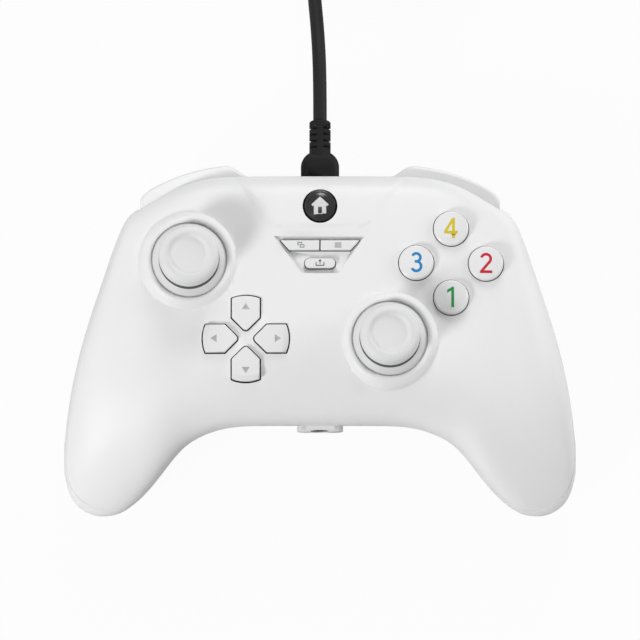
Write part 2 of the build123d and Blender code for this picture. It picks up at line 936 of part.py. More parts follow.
for name, (x, y) in {"left": stick_places[0], "right": stick_places[1]}.items():
    upright = Axis((x, y, 0), (0, 0, 1))
    opening = asin(stick_opening_radius / (dome_radius + dome_gap))
    skirt = pi / 2 - opening - radians(stick_tilt + skirt_margin)
    with BuildPart() as stick_cap:
        with BuildSketch(stick_section(x, y)):
            inside = dome_radius - dome_wall
            with BuildLine():
                rim_out = (dome_radius * cos(skirt), dome_radius * sin(skirt))
                rim_in = (inside * cos(skirt), inside * sin(skirt))
                half = (skirt + pi / 2) / 2
                Line(rim_in, rim_out)
                side = (dome_radius * cos(half), dome_radius * sin(half))
                ThreePointArc(rim_out, side, (0, dome_radius))
                Line((0, dome_radius), (0, inside))
                ThreePointArc((0, inside), (inside * cos(half), inside * sin(half)), rim_in)
            make_face()
        revolve(axis=upright)
        with BuildSketch(stick_section(x, y)):
            underside = cap_top_rise - cap_thickness
            with BuildLine():
                Polyline(
                    (0, inside),
                    (neck_radius, inside),
                    (neck_radius, underside),
                    (cap_radius - cap_edge / 2, underside),
                    (cap_radius, underside + cap_edge / 2),
                    (cap_radius, cap_top_rise - cap_edge),
                )
                shoulder_end = (cap_radius - cap_edge, cap_top_rise)
                RadiusArc((cap_radius, cap_top_rise - cap_edge), shoulder_end, -cap_edge)
                dish_floor = cap_top_rise - dish_depth
                Polyline(
                    shoulder_end,
                    (dish_radius + dish_depth / 2, cap_top_rise),
                    (dish_radius - dish_depth, dish_floor),
                    (0, dish_floor),
                    (0, inside),
                )
            make_face()
        revolve(axis=upright)
        with Locations((x, y, pivot_height + shaft_shoulder + shoulder_thickness)):
            Cylinder(
                socket_radius,
                inside - shaft_shoulder - shoulder_thickness + dome_wall / 2,
                align=(Align.CENTER, Align.CENTER, Align.MIN),
            )
            Cylinder(
                shaft_radius + screw_gap,
                inside - shaft_shoulder - shoulder_thickness + socket_depth,
                align=(Align.CENTER, Align.CENTER, Align.MIN),
                mode=Mode.SUBTRACT,
            )
    stick_cap.part.label = f"{name}_stick_cap"
    export_step(stick_cap.part, f"parts/{name}_stick_cap.step")

    with BuildPart() as stick_shaft:
        with Locations((x, y, pivot_height - shaft_tail)):
            Cylinder(
                shaft_radius,
                shaft_tail + inside + socket_depth - screw_gap,
                align=(Align.CENTER, Align.CENTER, Align.MIN),
            )
        with Locations((x, y, pivot_height + shaft_shoulder)):
            Cylinder(shoulder_radius, shoulder_thickness, align=(Align.CENTER, Align.CENTER, Align.MIN))
    stick_shaft.part.label = f"{name}_stick_shaft"
    export_step(stick_shaft.part, f"parts/{name}_stick_shaft.step")

    with BuildPart() as stick_pivot:
        with Locations((x, y, pivot_height)):
            Cylinder(pivot_radius, 2 * pivot_half_height)
            with Locations(Rotation(90, 0, 0)):
                Cylinder(pivot_pin_radius, 2 * (yoke_outer_radius - slide_gap))
            Cylinder(shaft_radius + slide_gap, 2 * pivot_half_height, mode=Mode.SUBTRACT)
    stick_pivot.part.label = f"{name}_stick_pivot"
    export_step(stick_pivot.part, f"parts/{name}_stick_pivot.step")

    with BuildPart() as stick_yoke:
        with Locations((x, y, pivot_height)):
            Cylinder(yoke_outer_radius, yoke_height)
            with Locations(Rotation(0, 90, 0)):
                Cylinder(yoke_pin_radius, 2 * yoke_pin_reach)
            Cylinder(yoke_inner_radius, yoke_height, mode=Mode.SUBTRACT)
            with Locations(Rotation(90, 0, 0)):
                Cylinder(pivot_pin_radius + screw_gap, 2 * module_half, mode=Mode.SUBTRACT)
    stick_yoke.part.label = f"{name}_stick_yoke"
    export_step(stick_yoke.part, f"parts/{name}_stick_yoke.step")

    with BuildPart() as stick_module:
        with BuildSketch(Plane.XY.offset(board_top)):
            with Locations((x, y)):
                Rectangle(2 * module_half, 2 * module_half)
        extrude(amount=pivot_height + module_top_rise - board_top)
        with BuildSketch(Plane.XY.offset(board_top)):
            with Locations((x - sensor_reach / 2, y)):
                Rectangle(sensor_reach, 2 * sensor_half)
            with Locations((x, y - sensor_reach / 2)):
                Rectangle(2 * sensor_half, sensor_reach)
        extrude(amount=pivot_height + sensor_top_rise - board_top)
        with BuildSketch(Plane.XY.offset(board_top + module_floor)):
            with Locations((x, y)):
                Circle(module_well_radius)
        extrude(amount=face_height, mode=Mode.SUBTRACT)
        with Locations((x, y, pivot_height)):
            with Locations(Rotation(0, 90, 0)):
                Cylinder(yoke_pin_radius + screw_gap, 2 * (yoke_pin_reach + slide_gap), mode=Mode.SUBTRACT)
    stick_module.part.label = f"{name}_stick_module"
    export_step(stick_module.part, f"parts/{name}_stick_module.step")

# Rubber dome sheets on the board, one dome under each key
dome_sheets = {
    "face_button_membrane": (list(button_places.values()), button_stem_radius),
    "dpad_membrane": (
        [
            (dpad_x - dpad_stem_offset * sin(radians(turn)), dpad_y + dpad_stem_offset * cos(radians(turn)))
            for turn in dpad_turns.values()
        ],
        dpad_stem_radius,
    ),
    "centre_membrane": (
        [
            (0, home_y),
            (-pair_stem_x, (pair_rear + pair_front) / 2),
            (pair_stem_x, (pair_rear + pair_front) / 2),
            (0, share_y),
        ],
        middle_stem_radius + dome_skin,
    ),
}
for name, (places, radius) in dome_sheets.items():
    middle_x = sum(x for x, y in places) / len(places)
    middle_y = sum(y for x, y in places) / len(places)
    with BuildPart() as dome_sheet:
        with BuildSketch(Plane.XY.offset(board_top)):
            for x, y in places:
                with Locations((x, y)):
                    Circle(radius + dome_reach)
                with Locations(((x + middle_x) / 2, (y + middle_y) / 2)):
                    Rectangle(
                        hypot(x - middle_x, y - middle_y) + radius,
                        radius,
                        rotation=degrees(atan2(y - middle_y, x - middle_x)),
                    )
        extrude(amount=dome_base)
        for x, y in places:
            with Locations((x, y, board_top + dome_base)):
                Cone(
                    radius,
                    radius * dome_top_share,
                    dome_top - board_top - dome_base,
                    align=(Align.CENTER, Align.CENTER, Align.MIN),
                )
            with Locations((x, y, board_top)):
                Cone(
                    radius - dome_skin,
                    radius * dome_top_share - dome_skin,
                    dome_top - board_top - dome_skin,
                    align=(Align.CENTER, Align.CENTER, Align.MIN),
                    mode=Mode.SUBTRACT,
                )
    dome_sheet.part.label = name
    export_step(dome_sheet.part, f"parts/{name}.step")

# Shoulder keys, swinging on pins that stand on the bridge
for name, side in {"left": -1, "right": 1}.items():
    with BuildPart() as bumper:
        with BuildSketch(Plane.XY.offset(bumper_bottom)):
            add(bumper_outline(side))
        extrude(amount=bumper_top - bumper_bottom)
        outer = bumper.edges().filter_by(GeomType.BSPLINE)
        fillet(outer, radius=bumper_edge)
        with Locations((side * hinge_x, hinge_y, bumper_bottom)):
            Cylinder(
                hinge_bore_radius,
                bumper_top - bumper_bottom - bumper_wall,
                align=(Align.CENTER, Align.CENTER, Align.MIN),
                mode=Mode.SUBTRACT,
            )
    bumper.part.label = f"{name}_bumper"
    export_step(bumper.part, f"parts/{name}_bumper.step")

port_height = board_top + port_half_height
with BuildPart() as bumper_bridge:
    ear_top = bumper_bottom - fit_gap
    with BuildSketch(Plane.XY.offset(ear_top - bridge_ear_thickness)):
        with Locations((0, (bridge_front + bridge_rear) / 2)):
            Rectangle(2 * bridge_half, bridge_rear - bridge_front)
    extrude(amount=bumper_top - ear_top + bridge_ear_thickness)
    rear_face = bumper_bridge.faces().sort_by(Axis.Y)[-1]
    fillet(rear_face.edges().filter_by(Axis.X), radius=bridge_edge)
    with BuildSketch(Plane.XY.offset(ear_top - bridge_ear_thickness)):
        with Locations((0, (bridge_front + hinge_y + hinge_bore_radius) / 2)):
            Rectangle(2 * bridge_ear_half, hinge_y + hinge_bore_radius - bridge_front)
    extrude(amount=bridge_ear_thickness)
    for side in (-1, 1):
        with Locations((side * hinge_x, hinge_y, ear_top)):
            Cylinder(
                hinge_pin_radius,
                bumper_top - bumper_wall - fit_gap - ear_top,
                align=(Align.CENTER, Align.CENTER, Align.MIN),
            )
    with BuildSketch(Plane.XZ.offset(-bridge_rear - overrun)):
        with Locations((0, port_height)):
            RectangleRounded(2 * port_window_half, port_window_height, port_window_corner)
    extrude(amount=2 * overrun + bridge_rear - bridge_front, mode=Mode.SUBTRACT)
    with BuildSketch(Plane.XY.offset(board_top - board_thickness - board_gap)):
        with Locations((0, bridge_front)):
            Rectangle(2 * (tongue_half + fit_gap), 2 * (tongue_rear + fit_gap - bridge_front))
    extrude(amount=board_thickness + 2 * board_gap, mode=Mode.SUBTRACT)
bumper_bridge.part.label = "bumper_bridge"
export_step(bumper_bridge.part, "parts/bumper_bridge.step")

# Triggers: a curved finger face between two side plates, on a hub that turns on a pin
for name, side in {"left": -1, "right": 1}.items():
    base = trigger_plane(side)
    with BuildPart() as trigger:
        face_points = [(x * trigger_reach, z * trigger_drop) for x, z in trigger_face_shares]
        back_points = [(x - trigger_skin, z) for x, z in reversed(face_points)]
        with BuildSketch(base):
            with BuildLine():
                Spline(face_points)
                tip = (face_points[-1][0] - trigger_skin / 2, -trigger_drop)
                ThreePointArc(face_points[-1], tip, back_points[0])
                Spline(back_points)
                Line(back_points[-1], face_points[0])
            make_face()
        extrude(amount=trigger_half, both=True)
        with BuildSketch(Plane(origin=base.origin, x_dir=base.z_dir, z_dir=base.x_dir)):
            RectangleRounded(2 * trigger_half, 2 * (trigger_drop + fit_gap), trigger_corner)
        extrude(amount=trigger_reach + overrun, mode=Mode.INTERSECT)
        for end in (-1, 1):
            with BuildSketch(base.offset(end * (trigger_half - trigger_plate / 2))):
                with BuildLine():
                    Polyline(
                        (0, -trigger_hub_radius),
                        (0, trigger_hub_radius),
                        (face_points[0][0] - trigger_skin / 2, face_points[0][1]),
                        (face_points[2][0] - trigger_skin / 2, face_points[2][1]),
                        close=True,
                    )
                make_face()
                Circle(trigger_hub_radius)
            extrude(amount=trigger_plate / 2, both=True)
        with BuildSketch(base):
            Circle(trigger_hub_radius)
            with BuildLine():
                Polyline(
                    (0, 0),
                    (0, trigger_hub_radius),
                    (face_points[0][0] - trigger_skin / 2, face_points[0][1]),
                    (face_points[0][0] - trigger_skin / 2, -trigger_hub_radius / 2),
                    close=True,
                )
            make_face()
        extrude(amount=trigger_hub_half, both=True)
        with BuildSketch(base):
            Circle(trigger_pin_radius + trigger_bore_gap)
        extrude(amount=trigger_half + overrun, both=True, mode=Mode.SUBTRACT)
    trigger.part.label = f"{name}_trigger"
    export_step(trigger.part, f"parts/{name}_trigger.step")

with BuildPart() as trigger_pins:
    for side in (-1, 1):
        with BuildSketch(trigger_plane(side)):
            Circle(trigger_pin_radius)
        extrude(amount=trigger_pin_half, both=True)
trigger_pins.part.label = "trigger_pins"
export_step(trigger_pins.part, "parts/trigger_pins.step")

with BuildPart() as trigger_springs:
    for side in (-1, 1):
        for end in (-1, 1):
            with BuildSketch(trigger_plane(side).offset(end * (spring_start + spring_end) / 2)):
                Circle(spring_radius)
                Circle(trigger_pin_radius + trigger_bore_gap, mode=Mode.SUBTRACT)
            extrude(amount=(spring_end - spring_start) / 2, both=True)
trigger_springs.part.label = "trigger_springs"
export_step(trigger_springs.part, "parts/trigger_springs.step")

# Frame inside the casing that carries the trigger pins
with BuildPart() as trigger_frame:
    with BuildSketch(Plane.XY.offset(trigger_z + cheek_low)):
        with Locations((0, (frame_front + frame_rear) / 2)):
            Rectangle(2 * (trigger_x - trigger_half - frame_bar), frame_rear - frame_front)
    extrude(amount=cheek_high - cheek_low)
    for side in (-1, 1):
        base = trigger_plane(side)
        with BuildSketch(base):
            with Locations((cheek_front + frame_bar / 2, (cheek_low + cheek_high) / 2)):
                Rectangle(frame_bar, cheek_high - cheek_low)
        extrude(amount=trigger_half + cheek_gap + cheek_thickness, both=True)
        for end in (-1, 1):
            with BuildSketch(base.offset(end * (trigger_half + cheek_gap + cheek_thickness / 2))):
                Circle(cheek_radius)
                with Locations((cheek_front / 2, 0)):
                    Rectangle(-cheek_front, 2 * cheek_radius)
            extrude(amount=cheek_thickness / 2, both=True)
        with BuildSketch(base):
            Circle(trigger_pin_radius + trigger_bore_gap / 2)
        extrude(amount=trigger_half + overrun, both=True, mode=Mode.SUBTRACT)
trigger_frame.part.label = "trigger_frame"
export_step(trigger_frame.part, "parts/trigger_frame.step")

with BuildPart() as trigger_sensors:
    for side in (-1, 1):
        with BuildSketch(Plane.XY.offset(board_top - board_thickness)):
            with Locations((side * (trigger_x - sensor_box), board_rear - sensor_box)):
                Rectangle(2 * sensor_box, sensor_box)
        extrude(amount=-sensor_drop)
trigger_sensors.part.label = "trigger_sensors"
export_step(trigger_sensors.part, "parts/trigger_sensors.step")

# Main board with its chips, and the screws that hold it to the upper shell
with BuildPart() as main_board:
    with BuildSketch(Plane.XY.offset(board_top - board_thickness)):
        with BuildLine():
            right = [
                (board_half_width, board_front),
                (board_half_width, board_shoulder_y),
                (board_shoulder_half, board_rear),
                (tongue_half, board_rear),
                (tongue_half, tongue_rear),
            ]
            Polyline(right + [(-x, y) for x, y in reversed(right)], close=True)
        make_face()
        for x, y in screw_places:
            with Locations((x, y)):
                Circle(case_post_radius + fit_gap, mode=Mode.SUBTRACT)
        for x, y in board_post_places:
            with Locations((x, y)):
                Circle(board_screw_radius + screw_gap, mode=Mode.SUBTRACT)
    extrude(amount=board_thickness)
    with BuildSketch(Plane.XY.offset(board_top - board_thickness)):
        with Locations((chip_x, chip_y)):
            Rectangle(chip_size, chip_size)
        for side in (-1, 1):
            with Locations((side * board_shoulder_half / 2, chip_size)):
                Rectangle(chip_size / 2, chip_size / 2)
    extrude(amount=-chip_height)
main_board.part.label = "main_board"
export_step(main_board.part, "parts/main_board.step")

with BuildPart() as board_screws:
    for x, y in board_post_places:
        with BuildSketch(Plane.XY.offset(board_top - board_thickness)):
            with Locations((x, y)):
                Circle(board_screw_head)
        extrude(amount=-board_screw_head_height)
        with BuildSketch(Plane.XY.offset(board_top - board_thickness)):
            with Locations((x, y)):
                Circle(board_screw_radius)
        extrude(amount=board_screw_length)
board_screws.part.label = "board_screws"
export_step(board_screws.part, "parts/board_screws.step")

with BuildPart() as bumper_switches:
    for side in (-1, 1):
        with BuildSketch(Plane.XY.offset(board_top)):
            with Locations((side * switch_x, switch_rear)):
                Rectangle(switch_width, switch_depth, align=(Align.CENTER, Align.MAX))
        extrude(amount=switch_height)
        with BuildSketch(Plane.XZ.offset(-switch_rear)):
            with Locations((side * switch_x, board_top + switch_height / 2)):
                Circle(plunger_radius)
        inner_rear = (bumper_inner_shares[-2][1] + bumper_inner_shares[-1][1]) / 2 * rear_reach
        extrude(amount=-(inner_rear - plunger_gap - switch_rear))
bumper_switches.part.label = "bumper_switches"
export_step(bumper_switches.part, "parts/bumper_switches.step")

# Rumble motors in the grips, each with a half-round weight on its shaft
for name, side in {"left": -1, "right": 1}.items():
    front = Plane(origin=(side * motor_x, motor_rear, motor_z), x_dir=(1, 0, 0), z_dir=(0, -1, 0))
    with BuildPart() as rumble_motor:
        with BuildSketch(front):
            Circle(motor_radius)
        extrude(amount=motor_length)
        fillet(rumble_motor.edges().filter_by(GeomType.CIRCLE), radius=motor_shaft_radius / 2)
        with BuildSketch(front.offset(motor_length - cradle_thickness)):
            Circle(motor_shaft_radius + screw_gap)
        extrude(amount=overrun, mode=Mode.SUBTRACT)
    rumble_motor.part.label = f"{name}_rumble_motor"
    export_step(rumble_motor.part, f"parts/{name}_rumble_motor.step")

    with BuildPart() as rumble_weight:
        with BuildSketch(front.offset(motor_length - cradle_thickness + screw_gap)):
            Circle(motor_shaft_radius)
        extrude(amount=cradle_thickness + weight_gap + weight_thickness - screw_gap)
        with BuildSketch(front.offset(motor_length + weight_gap)):
            Circle(weight_radius)
            with Locations((0, weight_radius)):
                Rectangle(2 * weight_radius, 2 * weight_radius, mode=Mode.SUBTRACT)
            Circle(weight_hub_radius)
        extrude(amount=weight_thickness)
    rumble_weight.part.label = f"{name}_rumble_weight"
    export_step(rumble_weight.part, f"parts/{name}_rumble_weight.step")

# Cord port on the board, and the headset jack in the front edge
with BuildPart() as cord_port:
    mouth = Plane(origin=(0, port_mouth, port_height), x_dir=(1, 0, 0), z_dir=(0, -1, 0))
    with BuildSketch(mouth):
        RectangleRounded(2 * port_half_width, 2 * port_half_height, port_half_height - port_skin)
        RectangleRounded(
            2 * (port_half_width - port_skin),
            2 * (port_half_height - port_skin),
            port_half_height - 2 * port_skin,
            mode=Mode.SUBTRACT,
        )
    extrude(amount=port_length)
    with BuildSketch(mouth.offset(port_length - port_back)):
        RectangleRounded(2 * port_half_width, 2 * port_half_height, port_half_height - port_skin)
    extrude(amount=port_back)
    with BuildSketch(mouth.offset(port_back)):
        Rectangle(2 * tongue_plate_half, tongue_plate_height)
    extrude(amount=port_length - port_back)
cord_port.part.label = "cord_port"
export_step(cord_port.part, "parts/cord_port.step")

with BuildPart() as headset_jack:
    mouth = Plane(origin=(0, jack_face + jack_recess, jack_z), x_dir=(1, 0, 0), z_dir=(0, 1, 0))
    with BuildSketch(mouth):
        Circle(jack_nose_radius)
    extrude(amount=jack_nose_length)
    with BuildSketch(mouth.offset(jack_nose_length)):
        Rectangle(2 * jack_body_half, jack_body_height)
    extrude(amount=jack_body_length)
    with BuildSketch(mouth):
        Circle(jack_bore_radius)
    extrude(amount=jack_bore_depth, mode=Mode.SUBTRACT)
headset_jack.part.label = "headset_jack"
export_step(headset_jack.part, "parts/headset_jack.step")

# Cord: plug, boot with its relief, lead, coil, tail and the far plug
plug_mouth = Plane(origin=(0, bridge_rear + fit_gap, port_height), x_dir=(1, 0, 0), z_dir=(0, -1, 0))
with BuildPart() as cord_plug:
    with BuildSketch(plug_mouth):
        RectangleRounded(2 * plug_half_width, 2 * plug_half_height, plug_half_height - plug_skin / 2)
        RectangleRounded(
            2 * (plug_half_width - plug_skin),
            2 * (plug_half_height - plug_skin),
            plug_half_height - plug_skin - plug_skin / 2,
            mode=Mode.SUBTRACT,
        )
    extrude(amount=plug_length)
cord_plug.part.label = "cord_plug"
export_step(cord_plug.part, "parts/cord_plug.step")

boot_start = bridge_rear + fit_gap
boot_end = boot_start + boot_length
relief_end = boot_end + relief_length
with BuildPart() as plug_boot:
    with BuildSketch(Plane.XY.offset(port_height - boot_height / 2)):
        with BuildLine():
            shoulder = boot_start + boot_straight
            Line((-relief_radius, boot_end), (relief_radius, boot_end))
            RadiusArc((relief_radius, boot_end), (boot_half_width, shoulder), boot_shoulder)
            Polyline(
                (boot_half_width, shoulder),
                (boot_half_width, boot_start),
                (-boot_half_width, boot_start),
                (-boot_half_width, shoulder),
            )
            RadiusArc((-boot_half_width, shoulder), (-relief_radius, boot_end), boot_shoulder)
        make_face()
    extrude(amount=boot_height)
    level = plug_boot.edges().filter_by_position(Axis.Y, boot_start + fit_gap, boot_end)
    fillet(level.filter_by(lambda edge: abs((edge @ 0).Z - (edge @ 1).Z) < fit_gap), radius=boot_edge)
    with BuildSketch(Plane(origin=(0, shoulder, port_height), x_dir=(1, 0, 0), z_dir=(0, 1, 0))):
        Circle(relief_radius)
    extrude(amount=relief_end - shoulder)
    chamfer(plug_boot.faces().sort_by(Axis.Y)[-1].edges(), length=relief_edge)
    # Grooves round the relief, broken by a spine above and below, and every other one at the sides too
    for index, share in enumerate(relief_groove_shares):
        middle = boot_end + share * relief_length
        with BuildSketch(Plane(origin=(0, middle, port_height), x_dir=(1, 0, 0), z_dir=(0, 1, 0))):
            Circle(relief_radius + overrun)
            Circle(relief_radius - relief_groove, mode=Mode.SUBTRACT)
            Rectangle(relief_spine, 2 * (relief_radius + overrun), mode=Mode.SUBTRACT)
            if index % 2 == 0:
                Rectangle(2 * (relief_radius + overrun), relief_spine, mode=Mode.SUBTRACT)
        extrude(amount=relief_groove_width / 2, both=True, mode=Mode.SUBTRACT)
plug_boot.part.label = "plug_boot"
export_step(plug_boot.part, "parts/plug_boot.step")

# Route of the lead: out of the relief, down to the table, then along it to the coil
lead_points = [
    (0, relief_end, port_height),
    (0, 78.1, port_height),
    (-0.6, 92.1, 23.2),
    (-1.7, 105.6, 12.3),
    (-2.6, 118.1, 5.4),
    (-3.4, 131.6, 2.95),
    (-3.9, 145.1, 2.82),
    (-4, 161.1, 2.8),
]
tail_points = [
    (-6.55, 161.1, 17.35),
    (-6.55, 171.1, 17.35),
    (-6.9, 183.1, 12.4),
    (-7.9, 195.1, 6.4),
    (-8.4, 205.1, 3.9),
    (-8.4, 214.1, 3.9),
]


# Arcs through a route of straight runs, each as large as its two runs allow
def cord_tube(points, name):
    radii = []
    for before, here, after in zip(points, points[1:], points[2:]):
        first = Vector(*here) - Vector(*before)
        second = Vector(*after) - Vector(*here)
        half_turn = radians(first.get_angle(second)) / 2
        radii.append(run_share * min(first.length, second.length) / tan(half_turn))
    with BuildPart() as tube:
        with BuildLine():
            path = FilletPolyline(*points, radius=radii)
        with BuildSketch(Plane(origin=path @ 0, z_dir=path % 0)):
            Circle(cord_diameter / 2)
        sweep(path=path)
    section = pi * cord_diameter ** 2 / 4
    print(name, "radii", [round(radius, 1) for radius in radii], "length", round(path.length, 1))
    print(name, "volume over section times length", round(tube.part.volume / (section * path.length), 4))
    return tube.part


with BuildPart() as cable_lead:
    add(cord_tube(lead_points, "lead"))
cable_lead.part.label = "cable_lead"
export_step(cable_lead.part, "parts/cable_lead.step")

with BuildPart() as cable_tail:
    add(cord_tube(tail_points, "tail"))
cable_tail.part.label = "cable_tail"
export_step(cable_tail.part, "parts/cable_tail.step")

# Put-away coil: half turns that spiral in and out, and climb a layer where the spiral reverses
coil_floor = cord_diameter / 2 + tie_thickness + tie_gap
coil_outer_radius = coil_inner_radius + coil_steps * coil_pitch / 2
coil_x = lead_points[-1][0] + coil_outer_radius
coil_y = lead_points[-1][1]


# Radius and height of the coil after each half turn
def coil_stations():
    radius = coil_outer_radius
    height = coil_floor
    rows = [(radius, height)]
    for layer in range(coil_layers):
        step = -coil_pitch / 2 if layer % 2 == 0 else coil_pitch / 2
        for turn in range(coil_steps):
            radius += step
            rows.append((radius, height))
        if layer < coil_layers - 1:
            height += coil_rise
            rows.append((radius, height))
    rows.append((radius + coil_pitch / 2, height))
    return rows


with BuildPart() as cable_coil:
    with BuildLine() as winding:
        rows = coil_stations()
        samples = []
        for turn, ((radius, height), (next_radius, next_height)) in enumerate(zip(rows, rows[1:])):
            side = -1 if turn % 2 == 0 else 1
            start = Vector(coil_x + side * radius, coil_y, height)
            end = Vector(coil_x - side * next_radius, coil_y, next_height)
            along = Vector(0, -side, 0)
            reach = (end - start).length / 2
            joint = (start + end) / 2 + along * reach
            first = TangentArc(start, joint, tangent=along)
            second = TangentArc(joint, end, tangent=end - start)
            for arc in (first, second):
                samples += [arc @ (step / coil_steps) for step in range(coil_steps)]
    with BuildSketch(Plane(origin=winding.line @ 0, z_dir=winding.line % 0)):
        Circle(cord_diameter / 2)
    sweep(path=winding.line)
cable_coil.part.label = "cable_coil"
export_step(cable_coil.part, "parts/cable_coil.step")
near = 2 * coil_steps
gaps = []
for index, here in enumerate(samples):
    for there in samples[index + near:]:
        gaps.append((here - there).length)
section = pi * cord_diameter ** 2 / 4
winding_length = sum(edge.length for edge in winding.line.edges())
fullness = cable_coil.part.volume / (section * winding_length)
print("coil turns", (len(rows) - 1) / 2, "length", round(winding_length, 1))
print("coil least gap", round(min(gaps) - cord_diameter, 3))
print("coil volume over section times length", round(fullness, 4))

with BuildPart() as cable_tie:
    inner_edge = coil_inner_radius - cord_diameter / 2
    inner_x = coil_x + sqrt(inner_edge ** 2 - (tie_width / 2) ** 2) - tie_gap
    outer_x = coil_x + coil_outer_radius + cord_diameter / 2 + tie_gap
    top_z = rows[-1][1] + cord_diameter / 2 + tie_gap
    with BuildSketch(Plane.XZ.offset(-coil_y)):
        with Locations(((inner_x + outer_x) / 2, (tie_thickness + top_z) / 2)):
            RectangleRounded(
                outer_x - inner_x + 2 * tie_thickness,
                top_z - tie_thickness + 2 * tie_thickness,
                cord_diameter / 2 + tie_thickness,
            )
            RectangleRounded(
                outer_x - inner_x,
                top_z - tie_thickness,
                cord_diameter / 2,
                mode=Mode.SUBTRACT,
            )
    extrude(amount=tie_width / 2, both=True)
cable_tie.part.label = "cable_tie"
export_step(cable_tie.part, "parts/cable_tie.step")

# Far plug, lying on the table behind the coil
far_start = tail_points[-1]
far_axis = Plane(origin=far_start, x_dir=(-1, 0, 0), z_dir=(0, 1, 0))
with BuildPart() as far_plug_boot:
    with BuildSketch(far_axis.offset(far_relief_length)):
        RectangleRounded(2 * far_body_half_width, 2 * far_body_half_height, far_body_corner)
    extrude(amount=far_body_length)
    fillet(far_plug_boot.faces().sort_by(Axis.Y)[0].edges(), radius=far_body_corner)
    with BuildSketch(far_axis):
        Circle(cord_diameter / 2 + far_shell_skin)
    with BuildSketch(far_axis.offset(far_relief_length)):
        Circle(far_relief_radius)
    loft()
far_plug_boot.part.label = "far_plug_boot"
export_step(far_plug_boot.part, "parts/far_plug_boot.step")

with BuildPart() as far_plug:
    with BuildSketch(far_axis.offset(far_relief_length + far_body_length)):
        Rectangle(2 * far_shell_half_width, 2 * far_shell_half_height)
        Rectangle(
            2 * (far_shell_half_width - far_shell_skin),
            2 * (far_shell_half_height - far_shell_skin),
            mode=Mode.SUBTRACT,
        )
    extrude(amount=far_shell_length)
    with BuildSketch(far_axis.offset(far_relief_length + far_body_length)):
        with Locations((0, far_shell_half_height - far_shell_skin - far_tongue_thickness / 2)):
            Rectangle(2 * (far_shell_half_width - far_shell_skin), far_tongue_thickness)
    extrude(amount=far_shell_length - far_shell_skin)
far_plug.part.label = "far_plug"
export_step(far_plug.part, "parts/far_plug.step")
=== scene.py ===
import json
from math import cos, hypot, pi, radians, sin, sqrt

import bmesh
import bpy
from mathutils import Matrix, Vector


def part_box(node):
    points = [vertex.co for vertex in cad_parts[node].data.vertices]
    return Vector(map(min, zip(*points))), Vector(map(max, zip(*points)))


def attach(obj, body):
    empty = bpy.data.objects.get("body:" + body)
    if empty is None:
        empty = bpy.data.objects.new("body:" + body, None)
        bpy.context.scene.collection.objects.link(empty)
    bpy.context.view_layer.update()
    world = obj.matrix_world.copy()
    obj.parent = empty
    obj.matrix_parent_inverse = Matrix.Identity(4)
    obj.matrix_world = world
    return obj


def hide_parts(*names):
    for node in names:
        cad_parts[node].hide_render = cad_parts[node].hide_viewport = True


# Sizes and places are in mm and angles in degrees, unless a note says otherwise
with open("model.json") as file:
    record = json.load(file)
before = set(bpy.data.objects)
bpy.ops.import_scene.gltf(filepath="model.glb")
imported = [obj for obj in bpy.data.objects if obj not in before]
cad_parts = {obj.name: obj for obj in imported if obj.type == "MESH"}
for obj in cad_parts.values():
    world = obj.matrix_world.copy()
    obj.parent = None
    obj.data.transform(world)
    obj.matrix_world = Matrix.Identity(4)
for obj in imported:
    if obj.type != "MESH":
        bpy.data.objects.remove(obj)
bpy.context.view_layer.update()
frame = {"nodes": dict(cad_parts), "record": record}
bodies = frame["record"]["behaviour"]["bodies"]
nodeBody = {node: body for body, nodes in bodies.items() for node in nodes}
nodeSlot = {row["node"]: row["material_slot"] for row in frame["record"]["subparts"]}
mm = 0.001
print("frame loaded:", len(frame["nodes"]), "nodes")


# Finishes: a slow change of tone and gloss, with a fine grain raised by bump
plainLook = {  # what a finish has where its own row says nothing else
    "toneScale": 30, "toneDetail": 4, "toneEnds": (0.3, 0.7),
    "pattern": "grain", "grainDetail": 6, "weaveBend": 0.6,
    "metal": 0, "coat": 0, "coatRough": 0.05, "specular": 0.5,
}
patternNodes = {
    "grain": ("ShaderNodeTexNoise", "Fac"),
    "weave": ("ShaderNodeTexWave", "Fac"),
    "pits": ("ShaderNodeTexVoronoi", "Distance"),
}


